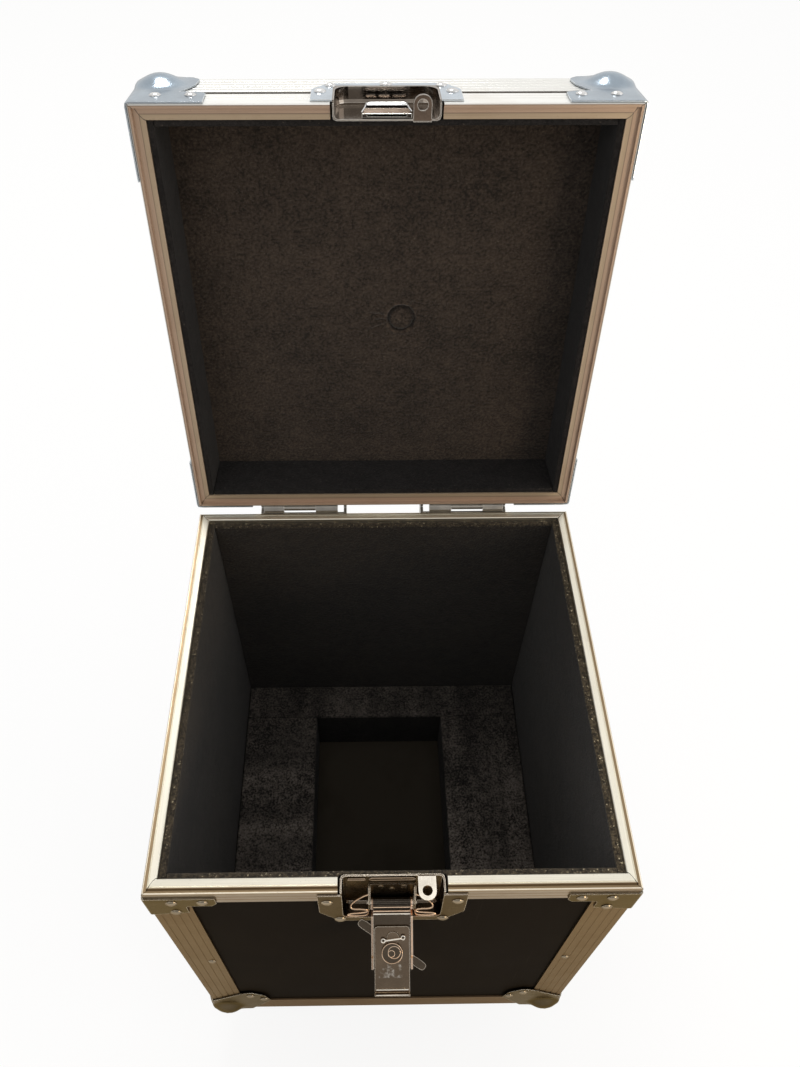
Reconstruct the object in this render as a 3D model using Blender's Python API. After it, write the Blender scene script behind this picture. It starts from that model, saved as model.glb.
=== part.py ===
# Wheeled flight case, shown with its lid open: panels held in aluminium extrusions,
# pressed steel corners, a recessed butterfly latch, two stay hinges, two bail handles, four castors.
# Metres. X runs to the right, Y to the back and Z up; Z = 0 is the underside of the bottom panel.

import math

import bmesh
import bpy
from mathutils import Matrix, Vector

# Overall sizes
CASE_WIDTH = 0.376
CASE_DEPTH = 0.376
BASE_HEIGHT = 0.407
LID_DEPTH = 0.068
CLEARANCE = 0.0003

# Panels, extrusions and foam
PANEL_THICKNESS = 0.007
EDGING_THICKNESS = 0.0015
CORNER_EDGING_LEG = 0.033
BOTTOM_EDGING_LEG = 0.036
LID_EDGING_LEG = 0.037
GROOVE_PITCH = 0.007
GROOVE_WIDTH = 0.0012
GROOVE_DEPTH = 0.0004
BASE_PROFILE_HEIGHT = 0.0195
LID_PROFILE_HEIGHT = 0.026
PROFILE_FLANGE = 0.008
PROFILE_WEB = 0.002
PROFILE_GROOVE = 0.0062
TONGUE_HEIGHT = 0.0032
TONGUE_INSET = 0.0032
TONGUE_CLEARANCE = 0.0004
PROFILE_WIDTH = 0.011
FOAM_THICKNESS = 0.0082
FOAM_DROP = 0.0015
LID_FOAM_THICKNESS = 0.0039
PAD_THICKNESS = 0.073
WELL_LEFT = -0.083
WELL_RIGHT = 0.075
BACK_PAD_DEPTH = 0.044

# Pressed steel corners
STEEL_THICKNESS = 0.0012
BRACE_LEG = 0.054
BRACE_TOP = 0.0075
BRACE_BAND = 0.0165
BRACE_FOOT = 0.044
BRACE_FOOT_WIDTH = 0.030
BASE_BALL_RADIUS = 0.022
BASE_BALL_INSET = 0.014
LID_BALL_RADIUS = 0.024
LID_BALL_INSET = 0.016
LID_CORNER_LEG = 0.054
BALL_PLAY = 0.0008
LID_CORNER_BAND = 0.027

# Hinges, measured from the back face and the parting plane
HINGE_CENTRE = 0.0817
HINGE_WIDTH = 0.0874
HINGE_PIVOT_BACK = 0.0047
HINGE_PIVOT_UP = 0.0038
HINGE_LEAF_HEIGHT = 0.034
HINGE_LEAF_THICKNESS = 0.0015
KNUCKLE_RADIUS = 0.0034
HINGE_PIN_RADIUS = 0.0016
STAY_THICKNESS = 0.0028
STAY_LENGTH = 0.020
KNUCKLE_END_GAP = 0.0034
OUTER_KNUCKLE_LENGTH = 0.0203
MIDDLE_KNUCKLE_LENGTH = 0.0324
INNER_KNUCKLE_LENGTH = 0.0224
LID_OPEN_ANGLE = math.radians(98.7)

# Latch, depths measured into the case from its front face
DISH_HALF_WIDTH = 0.0385
DISH_DEPTH = 0.012
DISH_BOTTOM = 0.0588
LID_DISH_TOP = 0.040
LID_DISH_DEPTH = 0.0105
FLANGE_HALF_WIDTH = 0.057
FLANGE_TOP = 0.004
FLANGE_BOTTOM = 0.0674
LID_FLANGE_TOP = 0.049
EYE_CENTRE = 0.026
EYE_DEPTH = 0.001
EYE_RADIUS = 0.0039
EYE_TAB_WIDTH = 0.0135
EYE_TAB_REACH = 0.006
LATCH_PIVOT_DEPTH = 0.006
LATCH_PIVOT_DROP = 0.044
LATCH_OPEN_ANGLE = math.radians(129)
LATCH_PIN_RADIUS = 0.0018
LATCH_BARREL_RADIUS = 0.0039
ARM_FACE_OFFSET = 0.0045
ARM_HALF_WIDTH = 0.0164
ARM_LENGTH = 0.0544
ARM_RAIL_START = 0.0107
ARM_RAIL_DEPTH = 0.0055
KEEPER_OFFSET = 0.0008
ARM_SHEET = 0.0015
HOOK_HALF_WIDTH = 0.0139
HOOK_START = 0.0203
HOOK_END = 0.074
HOOK_LIP_REACH = 0.0037
TURN_CENTRE = 0.0365
TURN_SHAFT_RADIUS = 0.003
TURN_HALF_SPAN = 0.0323
TURN_HALF_WIDTH = 0.0034
TURN_REST_ANGLE = math.radians(36)
TURN_SWING = math.radians(145)
CAM_RADIUS = 0.0083
CAM_OFFSET = 0.0045
HOOK_STROKE = CAM_OFFSET * (1 - math.cos(TURN_SWING))
CHEEK_INSIDE = 0.0170
KEEPER_FOOT = 0.0025
YOKE_TOP = 0.0145
SPRING_WIRE = 0.0007

# Side handles
HANDLE_DROP = 0.150
HANDLE_PLATE_HALF_LENGTH = 0.072
HANDLE_PLATE_HEIGHT = 0.062
HANDLE_PLATE_THICKNESS = 0.0015
HANDLE_ROD_RADIUS = 0.0035
HANDLE_GRIP_RADIUS = 0.006
HANDLE_HALF_SPAN = 0.054
HANDLE_FALL = 0.042
HANDLE_PLATE_RISE = 0.016
HANDLE_ROD_GAP = 0.0006
EAR_INNER = 0.0048
EAR_OUTER = 0.0113

# Castors
CASTOR_INSET = 0.068
CASTOR_PLATE_HALF = 0.028
CASTOR_PLATE_THICKNESS = 0.0025
CASTOR_HEAD = 0.020
CASTOR_TRAIL = 0.020
WHEEL_RADIUS = 0.025
WHEEL_HALF_WIDTH = 0.009
FORK_SHEET = 0.0025
FORK_SIDE_GAP = 0.0013
AXLE_RADIUS = 0.004
WHEEL_SIDES = 20
KING_PIN_RADIUS = 0.005
RACE_RADIUS = 0.020
RACE_HEIGHT = 0.003
FORK_CROWN_HEIGHT = 0.006
FORK_FRONT = 0.020
FORK_BACK = 0.022
AXLE_LUG = 0.010

# Places that follow from the sizes above
HALF_WIDTH = CASE_WIDTH / 2
HALF_DEPTH = CASE_DEPTH / 2
PANEL_OUTER = EDGING_THICKNESS + CLEARANCE
PANEL_INNER = PANEL_OUTER + PANEL_THICKNESS
UNDERSIDE = -PANEL_OUTER
PARTING = UNDERSIDE + BASE_HEIGHT
LID_TOP = PARTING + LID_DEPTH
PANEL_TOP = PARTING - PROFILE_WEB - CLEARANCE
WALL_FOOT = PANEL_THICKNESS + CLEARANCE
FOAM_OUTER = PANEL_INNER + CLEARANCE
FOAM_INNER = PANEL_INNER + FOAM_THICKNESS
LID_PROFILE_INNER = PROFILE_WIDTH + 0.0006
LID_REBATE = TONGUE_HEIGHT + 0.0005
LID_CHANNEL = LID_REBATE + PROFILE_WEB
LID_PANEL_UNDER = LID_TOP - PANEL_OUTER - PANEL_THICKNESS
LID_CEILING = LID_PANEL_UNDER - CLEARANCE - LID_FOAM_THICKNESS
STEEL_FACE = CLEARANCE + STEEL_THICKNESS
LID_PIVOT = Vector((0, HALF_DEPTH + HINGE_PIVOT_BACK, PARTING + HINGE_PIVOT_UP))
LATCH_PIVOT = Vector((0, LATCH_PIVOT_DEPTH - HALF_DEPTH, PARTING - LATCH_PIVOT_DROP))
LATCH_CLOSED_LIP = HOOK_END - ARM_SHEET - HOOK_STROKE - LATCH_PIVOT_DROP
DISH_CUT_HALF = DISH_HALF_WIDTH + STEEL_THICKNESS + CLEARANCE
PROFILE_END = DISH_CUT_HALF + 0.0015
AXLE_DROP = CASTOR_HEAD + WHEEL_RADIUS
FORK_INSIDE = WHEEL_HALF_WIDTH + FORK_SIDE_GAP
CORNER_SIGNS = [(-1, -1), (1, -1), (1, 1), (-1, 1)]
CORNER_NAMES = ["front_left", "front_right", "back_right", "back_left"]


# Finishes

def finish(name, color, roughness, metallic):
    material = bpy.data.materials.new(name)
    material.use_nodes = True
    shader = material.node_tree.nodes["Principled BSDF"]
    shader.inputs["Base Color"].default_value = (*color, 1)
    shader.inputs["Roughness"].default_value = roughness
    shader.inputs["Metallic"].default_value = metallic
    return material


def black_panel(name):
    return finish(name + "_laminate", (0.020, 0.017, 0.014), 0.55, 0)


def aluminium(name):
    return finish(name + "_aluminium", (0.72, 0.69, 0.64), 0.32, 1)


def zinc_steel(name):
    return finish(name + "_zinc_steel", (0.58, 0.60, 0.64), 0.24, 1)


def dark_foam(name):
    return finish(name + "_foam", (0.030, 0.022, 0.018), 0.95, 0)


def grey_rubber(name):
    return finish(name + "_rubber", (0.10, 0.10, 0.11), 0.7, 0)


# Shapes

def fillet(points, radii, steps=3):
    # Each corner of an outline turned into an arc; radii is one radius, or one for each corner
    rounded = []
    for k, point in enumerate(points):
        radius = radii[k] if isinstance(radii, list) else radii
        if radius == 0:
            rounded.append(point)
            continue
        corner = Vector(point)
        before = (Vector(points[k - 1]) - corner).normalized()
        after = (Vector(points[(k + 1) % len(points)]) - corner).normalized()
        half = before.angle(after) / 2
        centre = corner + (before + after).normalized() * radius / math.sin(half)
        start = corner + before * radius / math.tan(half) - centre
        end = corner + after * radius / math.tan(half) - centre
        first = math.atan2(start.y, start.x)
        turn = (math.atan2(end.y, end.x) - first + math.pi) % (2 * math.pi) - math.pi
        for j in range(steps + 1):
            angle = first + turn * j / steps
            rounded.append((centre.x + radius * math.cos(angle), centre.y + radius * math.sin(angle)))
    return rounded


def circle(centre, radius, sides):
    # A side, not a corner, faces straight down
    turns = [2 * math.pi * (k + 0.5) / sides - math.pi / 2 for k in range(sides)]
    return [(centre[0] + radius * math.cos(t), centre[1] + radius * math.sin(t)) for t in turns]


def prism(outline, axis, low, high):
    # An outline in (Y, Z), (X, Z) or (X, Y), extruded along the axis X, Y or Z
    order = {"X": (2, 0, 1), "Y": (0, 2, 1), "Z": (0, 1, 2)}[axis]
    bm = bmesh.new()
    corners = [[(a, b, low)[k] for k in order] for a, b in outline]
    face = bm.faces.new([bm.verts.new(corner) for corner in corners])
    made = bmesh.ops.extrude_face_region(bm, geom=[face])["geom"]
    risen = [item for item in made if isinstance(item, bmesh.types.BMVert)]
    bmesh.ops.translate(bm, verts=risen, vec=[(0, 0, high - low)[k] for k in order])
    bmesh.ops.recalc_face_normals(bm, faces=bm.faces)
    return bm


def box(low, high):
    outline = [(low[0], low[1]), (high[0], low[1]), (high[0], high[1]), (low[0], high[1])]
    return prism(outline, "Z", low[2], high[2])


def rod(start, end, radius, sides=16):
    # A straight round bar from one point to another
    bm = bmesh.new()
    along = Vector(end) - Vector(start)
    turned = along.to_track_quat("Z", "Y").to_matrix().to_4x4()
    place = Matrix.Translation((Vector(start) + Vector(end)) / 2) @ turned
    bmesh.ops.create_cone(
        bm, cap_ends=True, segments=sides, radius1=radius, radius2=radius, depth=along.length, matrix=place
    )
    return bm


def ball(centre, radius, around, rings):
    bm = bmesh.new()
    place = Matrix.Translation(centre)
    bmesh.ops.create_uvsphere(bm, u_segments=around, v_segments=rings, radius=radius, matrix=place)
    return bm


def turned(profile, sides):
    # A closed (radius, height) profile spun round Z; no point lies on the axis
    bm = bmesh.new()
    rim = [bm.verts.new((radius, 0, height)) for radius, height in profile]
    edges = [bm.edges.new((rim[k - 1], rim[k])) for k in range(len(rim))]
    bmesh.ops.spin(bm, geom=rim + edges, axis=(0, 0, 1), cent=(0, 0, 0), steps=sides, angle=2 * math.pi,
                   use_merge=True)
    bmesh.ops.remove_doubles(bm, verts=bm.verts, dist=0.000001)
    bmesh.ops.recalc_face_normals(bm, faces=bm.faces)
    return bm


def swept_frame(section, front_gap=0):
    # An (inset, Z) section carried round the case with mitred corners; front_gap leaves the front side open
    bm = bmesh.new()
    rings = []
    stations = [(sx * HALF_WIDTH, sy * HALF_DEPTH, sx, sy) for sx, sy in CORNER_SIGNS]
    if front_gap:
        stations = stations[1:] + stations[:1]
        stations = [(front_gap, -HALF_DEPTH, 0, -1), stations[0], *stations[1:], (-front_gap, -HALF_DEPTH, 0, -1)]
    for x, y, inward_x, inward_y in stations:
        rings.append([bm.verts.new((x - inward_x * inset, y - inward_y * inset, z)) for inset, z in section])
    joined = list(zip(rings, rings[1:]))
    if front_gap:
        bm.faces.new(rings[0])
        bm.faces.new(rings[-1])
    else:
        joined.append((rings[-1], rings[0]))
    for ring, following in joined:
        for k in range(len(section)):
            bm.faces.new((ring[k - 1], ring[k], following[k], following[k - 1]))
    bmesh.ops.recalc_face_normals(bm, faces=bm.faces)
    return bm


def smooth_route(points, steps):
    # Points on a smooth curve through the given ones, the way a bent wire runs
    route = []
    padded = [points[0], *points, points[-1]]
    for k in range(1, len(padded) - 2):
        p0, p1, p2, p3 = (Vector(p) for p in padded[k - 1:k + 3])
        for j in range(steps):
            t = j / steps
            route.append(
                0.5 * (2 * p1 + (p2 - p0) * t + (2 * p0 - 5 * p1 + 4 * p2 - p3) * t ** 2
                       + (3 * p1 - p0 - 3 * p2 + p3) * t ** 3)
            )
    route.append(Vector(points[-1]))
    return route


def helper(bm, name="helper"):
    mesh = bpy.data.meshes.new(name)
    bmesh.ops.recalc_face_normals(bm, faces=bm.faces)
    bm.to_mesh(mesh)
    bm.free()
    obj = bpy.data.objects.new(name, mesh)
    obj.hide_render = True
    obj.display_type = "WIRE"
    bpy.context.scene.collection.objects.link(obj)
    return obj


def merged(adds, cuts=()):
    # One closed mesh: the first shape with the others joined to it, and then the cuts taken away
    body = helper(adds[0])
    tools = [(helper(bm), "UNION") for bm in adds[1:]]
    tools += [(helper(bm), "DIFFERENCE") for bm in cuts]
    for tool, operation in tools:
        modifier = body.modifiers.new(operation.lower(), "BOOLEAN")
        modifier.operation = operation
        modifier.solver = "EXACT"
        modifier.object = tool
    bpy.context.view_layer.update()
    graph = bpy.context.evaluated_depsgraph_get()
    mesh = bpy.data.meshes.new_from_object(body.evaluated_get(graph))
    for used in [body] + [tool for tool, _ in tools]:
        bpy.data.objects.remove(used)
    return mesh


def add_part(name, shape, material, parent=None, location=(0, 0, 0), turn=(0, 0, 0)):
    # shape is a mesh, or a bmesh that becomes one
    if isinstance(shape, bmesh.types.BMesh):
        mesh = bpy.data.meshes.new(name)
        shape.to_mesh(mesh)
        shape.free()
    else:
        mesh = shape
    mesh.materials.clear()
    mesh.materials.append(material)
    mesh.shade_smooth()
    mesh.set_sharp_from_angle(angle=math.radians(32))
    obj = bpy.data.objects.new(name, mesh)
    obj.location = location
    obj.rotation_euler = turn
    obj.parent = parent
    bpy.context.scene.collection.objects.link(obj)
    return obj


def add_axis(name, location, turn=(0, 0, 0), parent=None):
    axis = bpy.data.objects.new(name, None)
    axis.location = location
    axis.rotation_euler = turn
    axis.parent = parent
    axis.empty_display_size = 0.02
    bpy.context.scene.collection.objects.link(axis)
    return axis


def add_lid_part(name, shape, material):
    # Lid pieces are shaped in the closed lid's place and then hung from the hinge axis
    if isinstance(shape, bmesh.types.BMesh):
        bmesh.ops.translate(shape, verts=shape.verts, vec=-LID_PIVOT)
    else:
        shape.transform(Matrix.Translation(-LID_PIVOT))
    return add_part(name, shape, material, parent=bpy.data.objects["lid_axis"])


def corner_place(index):
    sx, sy = CORNER_SIGNS[index]
    return sx * HALF_WIDTH, sy * HALF_DEPTH, index * math.pi / 2


# Base: panels

def add_base_panels():
    across = HALF_WIDTH - PANEL_OUTER
    along = HALF_DEPTH - PANEL_OUTER
    inner_along = HALF_DEPTH - PANEL_INNER - CLEARANCE
    tips = ball_trim(BASE_BALL_RADIUS, BASE_BALL_INSET, UNDERSIDE, 1)
    floor = merged([box((-across, -along, 0), (across, along, PANEL_THICKNESS))], tips)
    add_part("base_bottom_panel", floor, black_panel("base_bottom_panel"))
    front = merged(
        [box((-across, -along, WALL_FOOT), (across, PANEL_INNER - HALF_DEPTH, PANEL_TOP))],
        [dish_hole(PARTING - DISH_BOTTOM - STEEL_THICKNESS - CLEARANCE, PARTING + 0.01)],
    )
    add_part("base_front_panel", front, black_panel("base_front_panel"))
    back = box((-across, HALF_DEPTH - PANEL_INNER, WALL_FOOT), (across, along, PANEL_TOP))
    add_part("base_back_panel", back, black_panel("base_back_panel"))
    for side, sign in (("left", -1), ("right", 1)):
        near, far = sorted((sign * (HALF_WIDTH - PANEL_INNER), sign * across))
        wall = box((near, -inner_along, WALL_FOOT), (far, inner_along, PANEL_TOP))
        add_part(f"base_{side}_panel", wall, black_panel(f"base_{side}_panel"))


def dish_hole(low, high):
    # The notch that a latch dish drops into, cut through the front wall
    reach = HALF_DEPTH - PANEL_INNER - CLEARANCE
    return box((-DISH_CUT_HALF, -HALF_DEPTH - 0.005, low), (DISH_CUT_HALF, -reach, high))


def ball_trim(radius, inset, face, upward):
    # The tip of each case corner is rounded off so that it fits inside the pressed ball
    fit = radius - STEEL_FACE - BALL_PLAY
    cutters = []
    for sx, sy in CORNER_SIGNS:
        tip = Vector((sx * HALF_WIDTH, sy * HALF_DEPTH, face))
        inward = Vector((-sx, -sy, upward))
        spread = [sorted((tip[k] - inward[k] * 0.002, tip[k] + inward[k] * inset)) for k in range(3)]
        block = box([s[0] for s in spread], [s[1] for s in spread])
        kept = ball(tip + inward * inset, fit, 12, 8)
        mesh = merged([block], [kept])
        bm = bmesh.new()
        bm.from_mesh(mesh)
        cutters.append(bm)
    return cutters


# Base: extrusions

def groove(place):
    # A fine line drawn into an extrusion's outer face
    return [(0, place - GROOVE_WIDTH / 2), (GROOVE_DEPTH, place), (0, place + GROOVE_WIDTH / 2)]


def edging_section(leg, grooved_leg):
    # An angle with a rounded nose and fine grooves, outer faces on the two axes
    start = 0.006
    count = int((leg - start) / GROOVE_PITCH) + 1
    places = [start + GROOVE_PITCH * k for k in range(count) if start + GROOVE_PITCH * k < leg - 0.002]
    nose = fillet([(0, leg), (0, 0), (leg, 0)], [0, 0.001, 0], 2)[1:-1]
    along_x = []
    along_y = []
    for place in places:
        along_x += [(b, a) for a, b in groove(place)]
        along_y += groove(place)
    if not grooved_leg:
        along_x = []
    inner = [(leg, 0), (leg, EDGING_THICKNESS), (EDGING_THICKNESS, EDGING_THICKNESS), (EDGING_THICKNESS, leg)]
    return nose + along_x + inner + [(0, leg)] + along_y[::-1]


def add_base_extrusions():
    foot = UNDERSIDE + BOTTOM_EDGING_LEG + CLEARANCE
    head = PARTING - BASE_PROFILE_HEIGHT - CLEARANCE
    upright = edging_section(CORNER_EDGING_LEG, True)
    for k, name in enumerate(CORNER_NAMES):
        x, y, turn = corner_place(k)
        name = f"{name}_corner_edging"
        add_part(name, prism(upright, "Z", foot, head), aluminium(name), location=(x, y, 0), turn=(0, 0, turn))
    section = [(a, UNDERSIDE + b) for a, b in edging_section(BOTTOM_EDGING_LEG, False)]
    tips = ball_trim(BASE_BALL_RADIUS, BASE_BALL_INSET, UNDERSIDE, 1)
    bottom = merged([swept_frame(section)], tips)
    add_part("base_bottom_edging", bottom, aluminium("base_bottom_edging"))
    add_part("base_closing_profile", swept_frame(base_profile_section(), PROFILE_END),
             aluminium("base_closing_profile"))


def base_profile_section():
    # The male half: a shoulder, a raised tongue with a fine line in it, and a channel for the panel
    skin = EDGING_THICKNESS
    inner = PANEL_INNER + 0.0005
    slope = 0.0006
    crest = TONGUE_HEIGHT - 0.0008
    line = TONGUE_INSET + slope + 0.0009
    low = -BASE_PROFILE_HEIGHT
    points = [
        (0, low), *groove(low + PROFILE_GROOVE), *groove(low + 2 * PROFILE_GROOVE),
        (0, -0.001), (0.0003, -0.0003), (0.001, 0),
        (TONGUE_INSET, 0), (TONGUE_INSET + slope, crest),
        (line, crest + 0.0001), (line + 0.0003, crest - 0.0003), (line + 0.0006, crest + 0.0002),
        (PROFILE_WIDTH - 0.0006, TONGUE_HEIGHT), (PROFILE_WIDTH, TONGUE_HEIGHT - 0.0006),
        (PROFILE_WIDTH, -PROFILE_FLANGE), (inner, -PROFILE_FLANGE), (inner, -PROFILE_WEB),
        (skin, -PROFILE_WEB), (skin, low),
    ]
    return [(inset, PARTING + z) for inset, z in points]


# Pressed steel corners

def add_braces():
    # Bent plates that tie each rim corner to its upright, with a leg along each rim and one down each face
    low = PARTING - BRACE_FOOT
    shoulder = PARTING - BRACE_TOP - BRACE_BAND
    high = PARTING - BRACE_TOP
    outer = -STEEL_FACE
    plan = [
        (outer, outer), (BRACE_LEG, outer), (BRACE_LEG, -CLEARANCE),
        (-CLEARANCE, -CLEARANCE), (-CLEARANCE, BRACE_LEG), (outer, BRACE_LEG),
    ]
    sheet = prism(fillet(plan, [0.0014, 0, 0, 0, 0, 0], 2), "Z", low, high)
    window = fillet(
        [(BRACE_FOOT_WIDTH, low - 0.001), (BRACE_FOOT_WIDTH, shoulder), (BRACE_LEG - 0.004, shoulder),
         (BRACE_LEG + 0.001, shoulder + 0.007), (BRACE_LEG + 0.002, low - 0.001)],
        [0, 0.003, 0, 0, 0], 2,
    )
    foot = [(-0.004, low - 0.001), (BRACE_FOOT_WIDTH + 0.001, low - 0.001), (BRACE_FOOT_WIDTH + 0.001, low + 0.004)]
    mesh = merged(
        [sheet],
        [prism(window, "Y", outer - 0.001, 0.002), prism(window, "X", outer - 0.001, 0.002),
         prism(foot, "Y", outer - 0.001, 0.002), prism(foot, "X", outer - 0.001, 0.002)],
    )
    for k, name in enumerate(CORNER_NAMES):
        x, y, turn = corner_place(k)
        name = f"{name}_rim_brace"
        add_part(name, mesh.copy(), zinc_steel(name), location=(x, y, 0), turn=(0, 0, turn))
    bpy.data.meshes.remove(mesh)


def pressed_ball(radius, inset, face_leaf, end_leaf):
    # Three leaves meet at a hollow ball; the case's corner is the origin and the case fills the positive octant
    outer = -STEEL_FACE
    centre = Vector((inset, inset, inset))
    leaves = [
        prism(face_leaf, "Y", outer, -CLEARANCE),
        prism(face_leaf, "X", outer, -CLEARANCE),
        prism(end_leaf, "Z", outer, -CLEARANCE),
    ]
    far = 0.12
    room = []
    for k in range(3):
        low = [-CLEARANCE, -CLEARANCE, -CLEARANCE]
        low[k] = inset
        room.append(box(low, (far, far, far)))
    hollow = ball(centre, radius - STEEL_THICKNESS, 14, 8)
    return merged([ball(centre, radius, 16, 9)] + leaves, [hollow] + room)


def leaf_outline(inset, points, radii):
    # A leaf starts under the ball, on a line across the corner
    outer = -STEEL_FACE
    return fillet([(outer, inset), (inset, outer), *points], [0, 0, *radii], 2)


def end_leaf(inset):
    outer = -STEEL_FACE
    return leaf_outline(inset, [(0.039, outer), (0.051, 0.030), (0.030, 0.051), (outer, 0.039)], [0, 0.012, 0.012, 0])


def add_ball_corners():
    outer = -STEEL_FACE
    points = [(0.038, outer), (0.063, 0.043), (0.058, 0.064), (0.044, 0.078), (0.031, 0.070), (outer, 0.040)]
    leaf = leaf_outline(BASE_BALL_INSET, points, [0, 0.006, 0.008, 0.008, 0, 0])
    mesh = pressed_ball(BASE_BALL_RADIUS, BASE_BALL_INSET, leaf, end_leaf(BASE_BALL_INSET))
    for k, name in enumerate(CORNER_NAMES):
        x, y, turn = corner_place(k)
        name = f"{name}_ball_corner"
        add_part(name, mesh.copy(), zinc_steel(name), location=(x, y, UNDERSIDE), turn=(0, 0, turn))
    bpy.data.meshes.remove(mesh)


def add_lid_corners():
    # A ball at the lid's top, a leaf, a notch and a band that runs along the rim, pressed from one sheet
    band = LID_DEPTH - LID_CORNER_BAND
    rim = LID_DEPTH - 0.001
    points = [
        (0.036, -STEEL_FACE), (0.044, 0.006), (0.042, 0.022), (0.034, band - 0.001), (0.050, band),
        (0.0536, band + 0.003), (LID_CORNER_LEG, rim), (-STEEL_FACE, rim),
    ]
    leaf = leaf_outline(LID_BALL_INSET, points, [0, 0.006, 0.006, 0, 0, 0, 0, 0])
    mesh = pressed_ball(LID_BALL_RADIUS, LID_BALL_INSET, leaf, end_leaf(LID_BALL_INSET))
    mesh.transform(Matrix.Scale(-1, 4, (0, 0, 1)))
    mesh.flip_normals()
    for k, name in enumerate(CORNER_NAMES):
        x, y, turn = corner_place(k)
        piece = mesh.copy()
        piece.transform(Matrix.Translation((x, y, LID_TOP)) @ Matrix.Rotation(turn, 4, "Z"))
        add_lid_part(f"lid_{name}_corner", piece, zinc_steel(f"lid_{name}_corner"))
    bpy.data.meshes.remove(mesh)


# Lid

def add_lid_shell():
    across = HALF_WIDTH - PANEL_OUTER
    along = HALF_DEPTH - PANEL_OUTER
    top = LID_TOP - PANEL_OUTER
    tips = ball_trim(LID_BALL_RADIUS, LID_BALL_INSET, LID_TOP, -1)
    panel = merged([box((-across, -along, LID_PANEL_UNDER), (across, along, top))], tips)
    add_lid_part("lid_top_panel", panel, black_panel("lid_top_panel"))

    notch_top = PARTING + LID_DISH_TOP + STEEL_THICKNESS + CLEARANCE
    foot = PARTING + LID_CHANNEL + CLEARANCE
    head = LID_PANEL_UNDER - CLEARANCE
    section = [(PANEL_OUTER, foot), (PANEL_INNER, foot), (PANEL_INNER, head), (PANEL_OUTER, head)]
    walls = merged([swept_frame(section)], [dish_hole(PARTING - 0.01, notch_top)])
    add_lid_part("lid_walls", walls, black_panel("lid_walls"))

    section = [(a, LID_TOP - b) for a, b in edging_section(LID_EDGING_LEG, False)]
    tips = ball_trim(LID_BALL_RADIUS, LID_BALL_INSET, LID_TOP, -1)
    edging = merged([swept_frame(section)], tips + [dish_hole(PARTING, notch_top)])
    add_lid_part("lid_edging", edging, aluminium("lid_edging"))
    add_lid_part("lid_closing_profile", swept_frame(lid_profile_section(), PROFILE_END),
                 aluminium("lid_closing_profile"))


def lid_profile_section():
    # The female half: a lip that lands on the shoulder and a rebate over the tongue
    skin = EDGING_THICKNESS
    lip = TONGUE_INSET - TONGUE_CLEARANCE
    inner = PANEL_INNER + 0.0005
    high = LID_PROFILE_HEIGHT
    lines = groove(high - 2 * PROFILE_GROOVE) + groove(high - PROFILE_GROOVE)
    points = [
        (0, high), *lines[::-1], (0, 0.0012), (0.0008, CLEARANCE), (lip, CLEARANCE), (lip, LID_REBATE),
        (LID_PROFILE_INNER, LID_REBATE + 0.0002), (LID_PROFILE_INNER, LID_REBATE + PROFILE_FLANGE),
        (inner, LID_REBATE + PROFILE_FLANGE), (inner, LID_CHANNEL), (skin, LID_CHANNEL),
        (skin, high),
    ]
    return [(inset, PARTING + z) for inset, z in points]


# Foam

def add_base_foam():
    step = PARTING - PROFILE_FLANGE - CLEARANCE
    high = PARTING - FOAM_DROP
    under_profile = PROFILE_WIDTH + CLEARANCE
    section = [
        (FOAM_OUTER, WALL_FOOT), (FOAM_INNER, WALL_FOOT), (FOAM_INNER, high - 0.001), (FOAM_INNER - 0.001, high),
        (under_profile, high), (under_profile, step), (FOAM_OUTER, step),
    ]
    pocket = DISH_DEPTH + STEEL_THICKNESS + CLEARANCE - HALF_DEPTH
    low = PARTING - DISH_BOTTOM - STEEL_THICKNESS - CLEARANCE
    hollow = box((-DISH_CUT_HALF, -HALF_DEPTH, low), (DISH_CUT_HALF, pocket, PARTING + 0.01))
    add_part("base_foam_lining", merged([swept_frame(section)], [hollow]), dark_foam("base_foam_lining"))
    across = HALF_WIDTH - FOAM_INNER - CLEARANCE
    along = HALF_DEPTH - FOAM_INNER - CLEARANCE
    back = HALF_DEPTH - FOAM_INNER - BACK_PAD_DEPTH
    top = WALL_FOOT + PAD_THICKNESS
    pads = [
        ("left_floor_pad", (-across, -along), (WELL_LEFT, back - CLEARANCE)),
        ("right_floor_pad", (WELL_RIGHT, -along), (across, back - CLEARANCE)),
        ("back_floor_pad", (-across, back), (across, along)),
    ]
    for name, low_corner, high_corner in pads:
        pad = prism(fillet([low_corner, (high_corner[0], low_corner[1]), high_corner,
                            (low_corner[0], high_corner[1])], 0.002, 1), "Z", WALL_FOOT, top)
        rim = [edge for edge in pad.edges if all(abs(v.co.z - top) < 0.00001 for v in edge.verts)]
        bmesh.ops.bevel(pad, geom=rim, offset=0.002, segments=2, affect="EDGES", profile=0.5)
        add_part(name, pad, dark_foam(name))


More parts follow.
